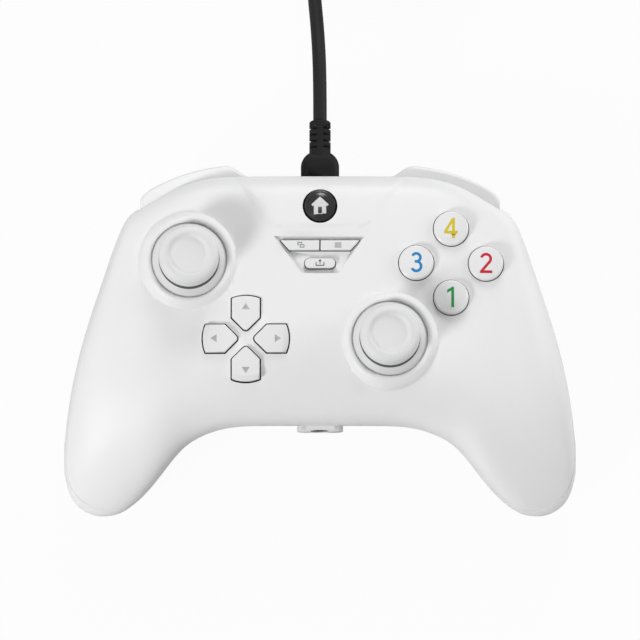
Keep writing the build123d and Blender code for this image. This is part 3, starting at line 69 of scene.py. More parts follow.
def makeFinish(name, ownLook):
    look = {**plainLook, **ownLook}
    finish = bpy.data.materials.new(name)
    finish.use_nodes = True
    nodes = finish.node_tree.nodes
    link = finish.node_tree.links.new
    shader = nodes["Principled BSDF"]
    place = nodes.new("ShaderNodeTexCoord")
    tone = nodes.new("ShaderNodeTexNoise")
    tone.inputs["Scale"].default_value = look["toneScale"]
    tone.inputs["Detail"].default_value = look["toneDetail"]
    link(place.outputs["Object"], tone.inputs["Vector"])
    colours = nodes.new("ShaderNodeValToRGB")
    for stop, position, colour in zip((0, 1), look["toneEnds"], (look["dark"], look["light"])):
        colours.color_ramp.elements[stop].position = position
        colours.color_ramp.elements[stop].color = (*colour, 1)
    link(tone.outputs["Fac"], colours.inputs["Fac"])
    link(colours.outputs["Color"], shader.inputs["Base Color"])
    gloss = nodes.new("ShaderNodeMapRange")
    gloss.inputs["To Min"].default_value = look["rough"][0]
    gloss.inputs["To Max"].default_value = look["rough"][1]
    link(tone.outputs["Fac"], gloss.inputs["Value"])
    link(gloss.outputs["Result"], shader.inputs["Roughness"])
    nodeKind, heightOutput = patternNodes[look["pattern"]]
    grain = nodes.new(nodeKind)
    grain.inputs["Scale"].default_value = look["grainScale"]
    if look["pattern"] == "grain":
        grain.inputs["Detail"].default_value = look["grainDetail"]
    elif look["pattern"] == "weave":
        grain.inputs["Distortion"].default_value = look["weaveBend"]
    link(place.outputs["Object"], grain.inputs["Vector"])
    bump = nodes.new("ShaderNodeBump")
    bump.inputs["Strength"].default_value = look["bump"]
    bump.inputs["Distance"].default_value = look["depth"] * mm
    link(grain.outputs[heightOutput], bump.inputs["Height"])
    link(bump.outputs["Normal"], shader.inputs["Normal"])
    shader.inputs["Metallic"].default_value = look["metal"]
    shader.inputs["Coat Weight"].default_value = look["coat"]
    shader.inputs["Coat Roughness"].default_value = look["coatRough"]
    shader.inputs["Specular IOR Level"].default_value = look["specular"]
    return finish


finishLooks = {
    "shellWhite": {
        "dark": (0.77, 0.77, 0.775), "light": (0.795, 0.795, 0.8), "rough": (0.44, 0.54),
        "grainScale": 4200, "bump": 0.12, "depth": 0.03,
    },
    "bumperWhite": {
        "dark": (0.78, 0.78, 0.785), "light": (0.81, 0.81, 0.815), "rough": (0.34, 0.42),
        "grainScale": 5200, "bump": 0.08, "depth": 0.02,
    },
    "triggerWhite": {
        "dark": (0.76, 0.76, 0.765), "light": (0.79, 0.79, 0.795), "rough": (0.48, 0.58),
        "grainScale": 2600, "bump": 0.25, "depth": 0.05, "pattern": "pits",
    },
    "keyGloss": {
        "dark": (0.73, 0.73, 0.73), "light": (0.76, 0.76, 0.76), "rough": (0.24, 0.32),
        "grainScale": 1500, "bump": 0.02, "depth": 0.02, "coat": 0.2, "coatRough": 0.15,
    },
    "keySatin": {
        "dark": (0.72, 0.72, 0.725), "light": (0.75, 0.75, 0.755), "rough": (0.34, 0.42),
        "grainScale": 5200, "bump": 0.08, "depth": 0.02,
    },
    "keyBlack": {
        "dark": (0.014, 0.014, 0.015), "light": (0.02, 0.02, 0.022), "rough": (0.2, 0.26),
        "grainScale": 900, "bump": 0.02, "depth": 0.02, "coat": 0.5, "coatRough": 0.16,
    },
    "stickRubber": {
        "dark": (0.69, 0.69, 0.695), "light": (0.72, 0.72, 0.725), "rough": (0.5, 0.6),
        "grainScale": 3600, "bump": 0.2, "depth": 0.03,
    },
    "domeRubber": {
        "dark": (0.42, 0.42, 0.43), "light": (0.52, 0.52, 0.53), "rough": (0.5, 0.62),
        "grainScale": 2500, "bump": 0.15, "depth": 0.03,
    },
    # painted shade: grey for the sunk arrows of the direction keys
    "paintedArrowShade": {
        "dark": (0.38, 0.38, 0.39), "light": (0.44, 0.44, 0.45), "rough": (0.4, 0.5),
        "grainScale": 5200, "bump": 0.08, "depth": 0.02,
    },
    "iconInk": {
        "dark": (0.025, 0.025, 0.027), "light": (0.04, 0.04, 0.042), "rough": (0.4, 0.5),
        "grainScale": 3000, "bump": 0.05, "depth": 0.01,
    },
    "homeMark": {
        "dark": (0.6, 0.6, 0.61), "light": (0.68, 0.68, 0.69), "rough": (0.3, 0.4),
        "grainScale": 3000, "bump": 0.04, "depth": 0.01,
    },
    "yellowInk": {
        "dark": (0.6, 0.47, 0.01), "light": (0.64, 0.52, 0.015), "rough": (0.36, 0.44),
        "grainScale": 3000, "bump": 0.04, "depth": 0.01, "specular": 0.3,
    },
    "blueInk": {
        "dark": (0.012, 0.2, 0.48), "light": (0.016, 0.23, 0.52), "rough": (0.36, 0.44),
        "grainScale": 3000, "bump": 0.04, "depth": 0.01, "specular": 0.3,
    },
    "redInk": {
        "dark": (0.5, 0.014, 0.03), "light": (0.55, 0.02, 0.038), "rough": (0.36, 0.44),
        "grainScale": 3000, "bump": 0.04, "depth": 0.01, "specular": 0.3,
    },
    "greenInk": {
        "dark": (0.012, 0.27, 0.055), "light": (0.016, 0.31, 0.068), "rough": (0.36, 0.44),
        "grainScale": 3000, "bump": 0.04, "depth": 0.01, "specular": 0.3,
    },
    "cordRubber": {
        "dark": (0.007, 0.007, 0.0075), "light": (0.013, 0.013, 0.014), "rough": (0.6, 0.7),
        "grainScale": 3000, "bump": 0.25, "depth": 0.04, "specular": 0.3,
    },
    "plugRubber": {
        "dark": (0.005, 0.005, 0.0055), "light": (0.009, 0.009, 0.01), "rough": (0.62, 0.72),
        "grainScale": 2400, "bump": 0.25, "depth": 0.05, "specular": 0.25,
    },
    "strapCloth": {
        "dark": (0.012, 0.012, 0.014), "light": (0.035, 0.035, 0.038), "rough": (0.8, 0.95),
        "grainScale": 900, "bump": 0.6, "depth": 0.15, "pattern": "weave",
    },
    "plating": {
        "dark": (0.55, 0.55, 0.56), "light": (0.7, 0.7, 0.71), "rough": (0.18, 0.32),
        "grainScale": 1800, "bump": 0.08, "depth": 0.02, "metal": 1,
    },
    "darkSteel": {
        "dark": (0.22, 0.22, 0.23), "light": (0.34, 0.34, 0.35), "rough": (0.3, 0.45),
        "grainScale": 1800, "bump": 0.12, "depth": 0.03, "metal": 1,
    },
    "innerBlack": {
        "dark": (0.02, 0.02, 0.02), "light": (0.04, 0.04, 0.04), "rough": (0.45, 0.6),
        "grainScale": 2600, "bump": 0.15, "depth": 0.03,
    },
    "frameGrey": {
        "dark": (0.16, 0.16, 0.165), "light": (0.22, 0.22, 0.225), "rough": (0.5, 0.62),
        "grainScale": 2600, "bump": 0.2, "depth": 0.04,
    },
    "boardGreen": {
        "dark": (0.012, 0.1, 0.035), "light": (0.03, 0.2, 0.07), "rough": (0.3, 0.45),
        "grainScale": 900, "bump": 0.2, "depth": 0.05, "toneScale": 400,
    },
    # painted shade: near black for the walls of the keys and of the slits round them
    "paintedSlitShade": {
        "dark": (0.012, 0.012, 0.013), "light": (0.02, 0.02, 0.021), "rough": (0.7, 0.8),
        "grainScale": 2600, "bump": 0.1, "depth": 0.02, "specular": 0.2,
    },
    # painted shade: dark grey for the stick's neck and dome under the cap
    "paintedStickShade": {
        "dark": (0.08, 0.08, 0.082), "light": (0.1, 0.1, 0.102), "rough": (0.6, 0.7),
        "grainScale": 3600, "bump": 0.2, "depth": 0.03,
    },
}
finishes = {name: makeFinish(name, look) for name, look in finishLooks.items()}
slotFinish = {
    "shell": "shellWhite", "bumper": "bumperWhite", "trigger": "triggerWhite",
    "key_gloss": "keyGloss", "key_satin": "keySatin", "key_black": "keyBlack",
    "stick_rubber": "stickRubber", "dome_rubber": "domeRubber", "cord_jacket": "cordRubber",
    "inner_plastic": "innerBlack", "frame_plastic": "frameGrey", "board": "boardGreen",
    "steel": "plating", "jack": "innerBlack",
}
for node, part in frame["nodes"].items():
    for holder in part.material_slots:
        holder.material = finishes[slotFinish[nodeSlot[node]]]
print("finishes made:", len(finishes))


# Helpers: objects, finished meshes and second finishes
def newObject(name, data):
    thing = bpy.data.objects.new(name, data)
    bpy.context.scene.collection.objects.link(thing)
    return thing


def addPiece(name, mesh, body, finish):
    piece = newObject(name, mesh)
    mesh.materials.clear()
    mesh.materials.append(finishes[finish])
    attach(piece, body)
    return piece


# The plain mesh of an object with its modifiers; it and its helpers are then removed
def finishedMesh(holder, *helpers):
    bpy.context.view_layer.update()
    graph = bpy.context.evaluated_depsgraph_get()
    mesh = bpy.data.meshes.new_from_object(holder.evaluated_get(graph))
    for thing in (holder, *helpers):
        bpy.data.objects.remove(thing)
    return mesh


# Another finish for the faces whose middle, in mm, and normal pass a test
def paintFaces(piece, finish, test):
    piece.data.materials.append(finishes[finish])
    index = len(piece.data.materials) - 1
    for face in piece.data.polygons:
        if test(face.center / mm, face.normal):
            face.material_index = index


# A merged copy of a CAD node that shades smoothly and keeps edges sharper than the angle;
# below the given height its faces get a painted shade, as dark as the slit that it stands in
def smoothNode(node, finish=None, angle=34, paintedShadeBelow=None, merge=0.002):
    mesh = frame["nodes"][node].data.copy()
    work = bmesh.new()
    work.from_mesh(mesh)
    bmesh.ops.remove_doubles(work, verts=work.verts, dist=merge * mm)
    if paintedShadeBelow:
        parts = work.verts[:] + work.edges[:] + work.faces[:]
        bmesh.ops.bisect_plane(work, geom=parts, plane_co=(0, 0, paintedShadeBelow * mm), plane_no=(0, 0, 1))
    work.to_mesh(mesh)
    work.free()
    mesh.shade_smooth()
    mesh.set_sharp_from_angle(angle=radians(angle))
    slot = nodeSlot[node]
    piece = addPiece(node + "_skin", mesh, nodeBody[node], finish or slotFinish[slot])
    weighted = piece.modifiers.new("weighted", "WEIGHTED_NORMAL")
    weighted.keep_sharp = True
    # painted shade on the faces below the height
    if paintedShadeBelow:
        paintFaces(piece, "paintedSlitShade", lambda middle, normal: middle.z < paintedShadeBelow)
    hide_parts(node)
    return piece


# Points round the corners of a path of (x, y, cut) rows
def softenPath(rows, steps=5):
    points = []
    for index, (x, y, cut) in enumerate(rows):
        here = Vector((x, y))
        if not cut or index in (0, len(rows) - 1):
            points.append(here)
            continue
        before = Vector(rows[index - 1][:2]) - here
        after = Vector(rows[index + 1][:2]) - here
        start = here + before.normalized() * cut
        end = here + after.normalized() * cut
        for step in range(steps + 1):
            part = step / steps
            points.append(start * (1 - part) ** 2 + here * 2 * part * (1 - part) + end * part ** 2)
    return points


# Points of an arc, from one direction to another
def arcPoints(x, y, radius, start, end, steps=22):
    turns = [radians(start + (end - start) * step / steps) for step in range(steps + 1)]
    return [(x + radius * cos(turn), y + radius * sin(turn)) for turn in turns]


# Turns a profile of (radius, height) points round an upright axis; radius 0 is a pole
def turnProfile(name, profile, centre, segments=96, angle=50):
    work = bmesh.new()
    rings = []
    for radius, height in profile:
        ring = []
        for step in range(segments if radius else 1):
            turn = 2 * pi * step / segments
            reach = Vector((radius * cos(turn), radius * sin(turn), height))
            ring.append(work.verts.new((Vector(centre) + reach) * mm))
        rings.append(ring)
    for low, high in zip(rings, rings[1:]):
        for step in range(segments):
            after = (step + 1) % segments
            corners = [low[step % len(low)], low[after % len(low)]]
            corners += [high[after % len(high)], high[step % len(high)]]
            corners = list(dict.fromkeys(corners))  # a pole has one corner instead of two
            if len(corners) > 2:
                work.faces.new(corners)
    bmesh.ops.recalc_face_normals(work, faces=work.faces)
    mesh = bpy.data.meshes.new(name)
    work.to_mesh(mesh)
    work.free()
    mesh.shade_smooth()
    mesh.set_sharp_from_angle(angle=radians(angle))
    return mesh


def keyTop(node):
    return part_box(node)[1][2] / mm


# Casing, shoulder keys, triggers and keys
casing = {"nodes": ("bottom_shell", "left_bumper", "right_bumper", "bumper_bridge")}
triggers = {"nodes": ("left_trigger", "right_trigger"), "sharpAngle": 40}
faceKeys = {
    "places": {
        "top": (39.1, 29.7), "left": (28.7, 19.3), "right": (49.5, 19.3), "bottom": (39.1, 8.9),
    },
    "sharpAngle": 40,
    "paintedShadeDrop": 2.4,  # how far under its top a key's walls get a dark painted shade
}
directionKeys = {
    "sides": {
        "up": {"arrow": (-22.1, 6.1), "paintedShadeBelow": 42.3},
        "left": {"arrow": (-31.7, -3.5), "paintedShadeBelow": 42.1},
        "down": {"arrow": (-22.1, -13.1), "paintedShadeBelow": 41.6},
        "right": {"arrow": (-12.5, -3.5), "paintedShadeBelow": 42.5},
    },
    "arrowReach": 1.6,
    "arrowHeights": (43.5, 43.88),  # under the key's top, so that only the sunk arrow gets a grey painted shade
    "sharpAngle": 28,
}
smallKeys = {
    "nodes": ("view_button", "menu_button", "share_button"),
    "sharpAngle": 40,
    "paintedShadeDrop": 1.2,
}
homeKey = {"place": (0, 36.5), "sharpAngle": 40}

# The steep walls of the casing's slits round the keys, which get a dark painted shade
wells = {
    "floor": 37.5,
    "ceiling": 50,  # above the casing
    "middleDrop": 1.4,  # the middle keys' slits get painted shade this far under the share key's top
    "steepest": 0.1,  # how much the normal of such a wall may rise
    "faceKeyReach": 5.8,
    "homeReach": 5.6,
    "directionKeys": (-22.1, -3.5, 13.8),  # x, y and reach
    "middleKeys": (0, 22, 13),
}


# Paints dark shade on the steep walls inside the circles round the keys
def paintShadeInSlits(piece):
    ceiling = wells["ceiling"]
    circles = [(x, y, wells["faceKeyReach"], ceiling) for x, y in faceKeys["places"].values()]
    circles.append((*homeKey["place"], wells["homeReach"], ceiling))
    circles.append((*wells["directionKeys"], ceiling))
    circles.append((*wells["middleKeys"], keyTop("share_button") - wells["middleDrop"]))

    def isInPaintedShade(middle, normal):
        if middle.z <= wells["floor"] or abs(normal.z) >= wells["steepest"]:
            return False
        return any(
            hypot(middle.x - x, middle.y - y) < reach and middle.z < top
            for x, y, reach, top in circles
        )

    paintFaces(piece, "paintedSlitShade", isInPaintedShade)


# Paints grey shade on the faces of the sunk arrow
def paintArrowShade(piece, arrow):
    low, high = directionKeys["arrowHeights"]

    def isArrow(middle, normal):
        away = hypot(middle.x - arrow[0], middle.y - arrow[1])
        return away < directionKeys["arrowReach"] and low < middle.z < high

    paintFaces(piece, "paintedArrowShade", isArrow)


paintShadeInSlits(smoothNode("top_shell"))
for node in casing["nodes"]:
    smoothNode(node)
for node in triggers["nodes"]:
    smoothNode(node, angle=triggers["sharpAngle"])
for side in faceKeys["places"]:
    node = f"face_button_{side}"
    smoothNode(node, angle=faceKeys["sharpAngle"], paintedShadeBelow=keyTop(node) - faceKeys["paintedShadeDrop"])
for side, key in directionKeys["sides"].items():
    skin = smoothNode(f"dpad_{side}", angle=directionKeys["sharpAngle"], paintedShadeBelow=key["paintedShadeBelow"])
    paintArrowShade(skin, key["arrow"])
for node in smallKeys["nodes"]:
    smoothNode(node, angle=smallKeys["sharpAngle"], paintedShadeBelow=keyTop(node) - smallKeys["paintedShadeDrop"])
smoothNode("home_button", angle=homeKey["sharpAngle"])
print("casing and keys smoothed")

# Thumb sticks: dome, neck, dished cap, the shaft's socket and the inner wall, as one profile
stick = {
    "centres": {"left": (-39, 20.1), "right": (20.8, -3.5)},
    "pivot": 44 - sqrt(14.9 ** 2 - 11.25 ** 2),  # a ball of 14.9 round it fills the opening's rim
    "dome": 14.5,
    "domeAngles": (19, 67.3),  # from its edge up to the neck
    "domeSteps": 24,
    "neck": [
        (5.6, 13.38, 0), (4.75, 13.9, 0.5), (4.6, 15.2, 0.5), (8.98, 15.2, 0.35), (8.75, 21.5, 2.2),
    ],
    "dish": [(6.3, 21.5, 0.6), (5.4, 20.45, 0.6), (0, 20.35, 0)],
    "roundSteps": 7,
    "socket": [(0, 15.8), (1.65, 15.8), (1.65, 9.05), (3.4, 9.05), (3.4, 12.8)],
    "inside": 13.3,
    "insideAngles": (75, 19),
    "insideSteps": 20,
    "paintedShadeReach": 8.95,  # painted shade on the neck and the dome as far out as the cap covers them
    "paintedShadeHeights": (11.2, 15.25),
}


def makeStick(side):
    x, y = stick["centres"][side]
    outer = arcPoints(0, 0, stick["dome"], *stick["domeAngles"], stick["domeSteps"])
    inner = arcPoints(0, 0, stick["inside"], *stick["insideAngles"], stick["insideSteps"])
    cap = softenPath(stick["neck"] + stick["dish"], stick["roundSteps"])
    profile = outer + cap[1:] + stick["socket"] + inner + outer[:1]
    mesh = turnProfile(f"{side}_stick_top", profile, (x, y, stick["pivot"]))
    piece = addPiece(f"{side}_stick_top", mesh, f"{side}_stick", "stickRubber")
    low, high = stick["paintedShadeHeights"]

    # painted shade under the cap's edge
    def isInPaintedShade(middle, normal):
        away = hypot(middle.x - x, middle.y - y)
        return away < stick["paintedShadeReach"] and low < middle.z - stick["pivot"] < high

    paintFaces(piece, "paintedStickShade", isInPaintedShade)
    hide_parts(f"{side}_stick_cap")


for side in stick["centres"]:
    makeStick(side)
print("sticks turned")


# A flat mesh from outlines of (x, y) points; an outline inside another cuts a hole
def flatMesh(name, outlines):
    shape = bpy.data.curves.new(name, "CURVE")
    shape.dimensions = "2D"
    shape.fill_mode = "BOTH"
    for outline in outlines:
        spline = shape.splines.new("POLY")
        spline.points.add(len(outline) - 1)
        for point, (x, y) in zip(spline.points, outline):
            point.co = (x * mm, y * mm, 0, 1)
        spline.use_cyclic_u = True
    return finishedMesh(newObject(name + "Shape", shape))


def bar(x, y, wide, high):
    left, right, front, rear = x - wide / 2, x + wide / 2, y - high / 2, y + high / 2
    return [(left, front), (right, front), (right, rear), (left, rear)]


# Mesh of the numerals and marks: edges are halved, so many rounds at most, until none is too long
inkMesh = {"merge": 0.001, "longestEdge": 0.7, "rounds": 4}


# Lays a flat mesh on a crown that drops by "crown" over "reach", then gives it a thin wall
def layOnCrown(mesh, centre, top, crown=0, reach=1, proud=0.025, skin=0.1):
    work = bmesh.new()
    work.from_mesh(mesh)
    bmesh.ops.remove_doubles(work, verts=work.verts, dist=inkMesh["merge"] * mm)
    bmesh.ops.triangulate(work, faces=work.faces)
    for turn in range(inkMesh["rounds"]):
        longest = [edge for edge in work.edges if edge.calc_length() > inkMesh["longestEdge"] * mm]
        if not longest:
            break
        bmesh.ops.subdivide_edges(work, edges=longest, cuts=1)
        bmesh.ops.triangulate(work, faces=work.faces)
    radius = (reach ** 2 + crown ** 2) / (2 * crown) if crown else 0
    for vert in work.verts:
        away = hypot(vert.co.x, vert.co.y) / mm
        drop = radius - sqrt(radius ** 2 - away ** 2) if crown else 0
        vert.co.z = (top - drop + proud) * mm
        vert.co.x += centre[0] * mm
        vert.co.y += centre[1] * mm
    for face in work.faces:
        if face.normal.z < 0:
            face.normal_flip()
    work.normal_update()
    bmesh.ops.solidify(work, geom=list(work.faces), thickness=skin * mm)
    bmesh.ops.recalc_face_normals(work, faces=work.faces)
    work.to_mesh(mesh)
    work.free()


# Numerals on the face keys
numeralLay = {"crown": 0.45, "reach": 4.5, "proud": 0.03, "skin": 0.12}
numerals = {
    "top": {
        "ink": "yellowInk",
        "outlines": [
            [
                (0.3, 3.05), (1.12, 3.05), (1.12, -0.85), (1.95, -0.85), (1.95, -1.6), (1.12, -1.6),
                (1.12, -3.05), (0.3, -3.05), (0.3, -1.6), (-2.05, -1.6), (-2.05, -0.9),
            ],
            [(0.3, 1.5), (0.3, -0.85), (-1.15, -0.85)],
        ],
    },
    "left": {
        "ink": "blueInk",
        "outlines": [
            [
                *arcPoints(0, 1.42, 1.63, 155, -46.8), *arcPoints(0, -1.22, 1.83, 52.5, -155),
                *arcPoints(0, -1.22, 1.01, -155, 90), (-0.5, -0.21), (-0.5, 0.61),
                *arcPoints(0, 1.42, 0.81, -90, 155),
            ],
        ],
    },
    "right": {
        "ink": "redInk",
        "outlines": [
            [
                *arcPoints(0, 1.25, 1.8, 165, -38), (-0.62, -2.25), (1.85, -2.25), (1.85, -3.05),
                (-1.85, -3.05), (-1.85, -2.45), *arcPoints(0, 1.25, 0.98, -38, 165),
            ],
        ],
    },
    "bottom": {
        "ink": "greenInk",
        "outlines": [
            [
                (0, -3.05), (0.82, -3.05), (0.82, 3.05), (0.2, 3.05), (-1.25, 2.1), (-1.25, 1.2),
                (0, 1.95),
            ],
        ],
    },
}
for side, numeral in numerals.items():
    mesh = flatMesh(f"numeral_{side}", numeral["outlines"])
    layOnCrown(mesh, faceKeys["places"][side], keyTop(f"face_button_{side}"), **numeralLay)
    addPiece(f"numeral_{side}", mesh, f"face_button_{side}", numeral["ink"])

# Marks on the middle keys: a house, two squares, three bars, and an arrow over a tray
marks = {
    "home": {
        "node": "home_button", "centre": homeKey["place"], "finish": "homeMark",
        "lay": {"crown": 1, "reach": 4.25},
        "outlines": [
            [
                (-2.6, 0.35), (0, 2.75), (2.6, 0.35), (2.15, -0.15), (1.85, 0.12), (1.85, -2.3),
                (-1.85, -2.3), (-1.85, 0.12), (-2.15, -0.15),
            ],
            bar(0, -1.35, 1.15, 1.9),
        ],
    },
    "view": {
        "node": "view_button", "centre": (-5.7, 24.6), "finish": "iconInk",
        "outlines": [
            [
                (-1, 0), (-0.5, 0), (-0.5, 0.18), (-0.8, 0.18), (-0.8, 0.7), (0.16, 0.7),
                (0.16, 0.42), (0.36, 0.42), (0.36, 0.9), (-1, 0.9),
            ],
            bar(0.35, -0.28, 1.36, 0.9),
            bar(0.35, -0.28, 0.98, 0.52),
        ],
    },
    "menu": {
        "node": "menu_button", "centre": (5.4, 24.6), "finish": "iconInk",
        "outlines": [bar(0, rise, 2, 0.22) for rise in (0.58, 0, -0.58)],
    },
    "share": {
        "node": "share_button", "centre": (0, 19.2), "finish": "iconInk",
        "outlines": [
            [
                (-1.3, 0.3), (-1.3, -0.85), (1.3, -0.85), (1.3, 0.3), (1.04, 0.3), (1.04, -0.59),
                (-1.04, -0.59), (-1.04, 0.3),
            ],
            [
                (-0.12, -0.25), (0.12, -0.25), (0.12, 0.55), (0.5, 0.55), (0, 1.15), (-0.5, 0.55),
                (-0.12, 0.55),
            ],
        ],
    },
}
for name, mark in marks.items():
    node = mark["node"]
    mesh = flatMesh(f"{name}_mark", mark["outlines"])
    layOnCrown(mesh, mark["centre"], keyTop(node), **mark.get("lay", {}))
    addPiece(f"{name}_mark", mesh, nodeBody[node], mark["finish"])
print("marks laid on the keys")


# Geometry nodes: copies of one shape on the points of a mesh, made real, with one finish
def scatterTree(name, seed=7):
    tree = bpy.data.node_groups.new(name, "GeometryNodeTree")
    sockets = {}
    for label, kind in (
        ("Geometry", "Geometry"), ("Shape", "Object"), ("Finish", "Material"),
        ("Size", "Float"), ("Largest turn", "Float"),
    ):
        socket = tree.interface.new_socket(label, in_out="INPUT", socket_type="NodeSocket" + kind)
        sockets[label] = socket.identifier
    tree.interface.new_socket("Geometry", in_out="OUTPUT", socket_type="NodeSocketGeometry")
    nodes = tree.nodes
    link = tree.links.new
    start = nodes.new("NodeGroupInput")
    end = nodes.new("NodeGroupOutput")
    points = nodes.new("GeometryNodeMeshToPoints")
    info = nodes.new("GeometryNodeObjectInfo")
    spin = nodes.new("FunctionNodeRandomValue")
    spin.data_type = "FLOAT"
    spin.inputs["Seed"].default_value = seed
    angles = nodes.new("ShaderNodeCombineXYZ")
    place = nodes.new("GeometryNodeInstanceOnPoints")
    real = nodes.new("GeometryNodeRealizeInstances")
    paint = nodes.new("GeometryNodeSetMaterial")
    link(start.outputs["Geometry"], points.inputs["Mesh"])
    link(start.outputs["Shape"], info.inputs["Object"])
    link(start.outputs["Largest turn"], spin.inputs[3])  # Random Value's float Max
    link(spin.outputs[1], angles.inputs["Z"])  # and its float Value
    link(points.outputs["Points"], place.inputs["Points"])
    link(info.outputs["Geometry"], place.inputs["Instance"])
    link(angles.outputs["Vector"], place.inputs["Rotation"])
    link(start.outputs["Size"], place.inputs["Scale"])
    link(place.outputs["Instances"], real.inputs["Geometry"])
    link(real.outputs["Geometry"], paint.inputs["Geometry"])
    link(start.outputs["Finish"], paint.inputs["Material"])
    link(paint.outputs["Geometry"], end.inputs["Geometry"])
    return tree, sockets


scatter, scatterSockets = scatterTree("copiesOnPoints")


# One mesh of copies at the places, each turned at random by up to so many radians
def scatterCopies(name, shapeMesh, places, finish, size=1.0, largestTurn=0.0):
    shape = newObject(name + "Shape", shapeMesh)
    cloud = bpy.data.meshes.new(name + "Places")
    cloud.from_pydata([Vector(place) * mm for place in places], [], [])
    holder = newObject(name + "Holder", cloud)
    modifier = holder.modifiers.new("copies", "NODES")
    modifier.node_group = scatter
    modifier[scatterSockets["Shape"]] = shape
    modifier[scatterSockets["Finish"]] = finishes[finish]
    modifier[scatterSockets["Size"]] = size
    modifier[scatterSockets["Largest turn"]] = largestTurn
    return finishedMesh(holder, shape)


# Case screws: a cross recess in a domed head, and a threaded shank; the head's seat is at 0
screw = {
    "head": 2.3,
    "headHeight": 1.4,
    "headSlope": (0.3, 0.5),  # in from the head's side, down from its top
    "shank": 1.2,
    "length": 10.05,
    "thread": 0.22,
    "threadPitch": 0.9,
    "threadStart": 0.4,
    "plainEnd": 1.2,
    "tip": 0.5,
    "recess": (1.5, 0.34, 0.9),  # half length, half width and depth
    "segments": 32,
    "largestTurn": 3.1,  # radians
    "places": [(61, 4.1), (60, -39.5), (19, 32.1), (9.6, -21.4)],  # and as many on the left
    "seatReach": 3,  # how far from its place a screw's own corners lie
}


def screwMesh():
    head, top, shank = screw["head"], -screw["headHeight"], screw["shank"]
    inset, drop = screw["headSlope"]
    profile = softenPath([
        (0, top, 0), (head - inset, top, 0.2), (head, top + drop, 0.3),
        (head, 0, 0.1), (shank, 0, 0),
    ], steps=3)
    pitch, groove = screw["threadPitch"], shank - screw["thread"]
    for turn in range(int((screw["length"] - screw["plainEnd"]) / pitch)):
        low = screw["threadStart"] + turn * pitch
        profile += [(groove, low), (shank, low + pitch / 2)]
    profile += [(groove, screw["length"] - screw["tip"]), (0, screw["length"])]
    mesh = turnProfile("caseScrew", profile, (0, 0, 0), segments=screw["segments"])
    reach, half, depth = screw["recess"]
    cutter = bpy.data.meshes.new("crossCutter")
    work = bmesh.new()
    for wide, high in ((reach, half), (half, reach)):
        made = bmesh.ops.create_cube(work, size=2 * mm)
        bmesh.ops.scale(work, verts=made["verts"], vec=(wide, high, depth))
        bmesh.ops.translate(work, verts=made["verts"], vec=(0, 0, top * mm))
    work.to_mesh(cutter)
    work.free()
    body = newObject("screwBody", mesh)
    tool = newObject("screwTool", cutter)
    cut = body.modifiers.new("cut", "BOOLEAN")
    cut.operation = "DIFFERENCE"
    cut.solver = "EXACT"
    cut.use_self = True
    cut.object = tool
    return finishedMesh(body, tool)


# Where the heads sit: each as high as the lowest corner of the CAD screw there
def screwSeats():
    corners = [vert.co / mm for vert in frame["nodes"]["case_screws"].data.vertices]
    seats = []
    for x, y in screw["places"]:
        for side in (-1, 1):
            near = [co.z for co in corners if hypot(co.x - side * x, co.y - y) < screw["seatReach"]]
            seats.append((side * x, y, min(near) + screw["headHeight"]))
    return seats


seats = screwSeats()
screwCopies = scatterCopies(
    "caseScrews", screwMesh(), seats, "darkSteel", largestTurn=screw["largestTurn"],
)
screwPiece = addPiece("case_screw_set", screwCopies, "casing", "darkSteel")
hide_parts("case_screws")
print("case screws placed:", len(seats))

# Cord: the lead, the put-away coil and the tail are one line
cordFacts = {
    "diameter": 4.1,
    "lead": [
        (0, 64.6, 28.6), (0, 78.1, 28.6), (-0.6, 92.1, 23.2), (-1.7, 105.6, 12.3),
        (-2.6, 118.1, 5.4), (-3.4, 131.6, 2.95), (-3.9, 145.1, 2.82),
    ],
    "coilCentre": (30.7, 161.1),
    "coilFloor": 2.8,
    "innerRadius": 14.3,
    "pitch": 5.1,
    "rise": 4.85,
    "layers": 4,
    "halfTurns": 8,
    "pointsPerHalfTurn": 8,
    "tail": [
        (-6.55, 161.1, 17.35), (-6.55, 171.1, 17.35), (-6.9, 183.1, 12.4), (-7.9, 195.1, 6.4),
        (-8.4, 205.1, 3.9), (-8.4, 214.1, 3.9),
    ],
    "smoothSteps": 4,
}


# Points of the coil: half turns that wind in and out, and climb a layer where they reverse
def coilPoints():
    step = cordFacts["pitch"] / 2
    radius = cordFacts["innerRadius"] + cordFacts["halfTurns"] * step
    height = cordFacts["coilFloor"]
    rows = [(radius, height)]
    for layer in range(cordFacts["layers"]):
        for half in range(cordFacts["halfTurns"]):
            radius += step if layer % 2 else -step
            rows.append((radius, height))
        if layer < cordFacts["layers"] - 1:
            height += cordFacts["rise"]
            rows.append((radius, height))
    rows.append((radius + step, height))
    centreX, centreY = cordFacts["coilCentre"]
    count = cordFacts["pointsPerHalfTurn"]
    points = []
    for index, ((radius, height), (nextRadius, nextHeight)) in enumerate(zip(rows, rows[1:])):
        side = 1 if index % 2 else -1
        middleX = centreX + side * (radius - nextRadius) / 2
        reach = side * (radius + nextRadius) / 2
        for step in range(count):
            share = step / count
            lift = height + (nextHeight - height) * share
            x, y = middleX + reach * cos(pi * share), centreY - reach * sin(pi * share)
            points.append((x, y, lift))
    return points


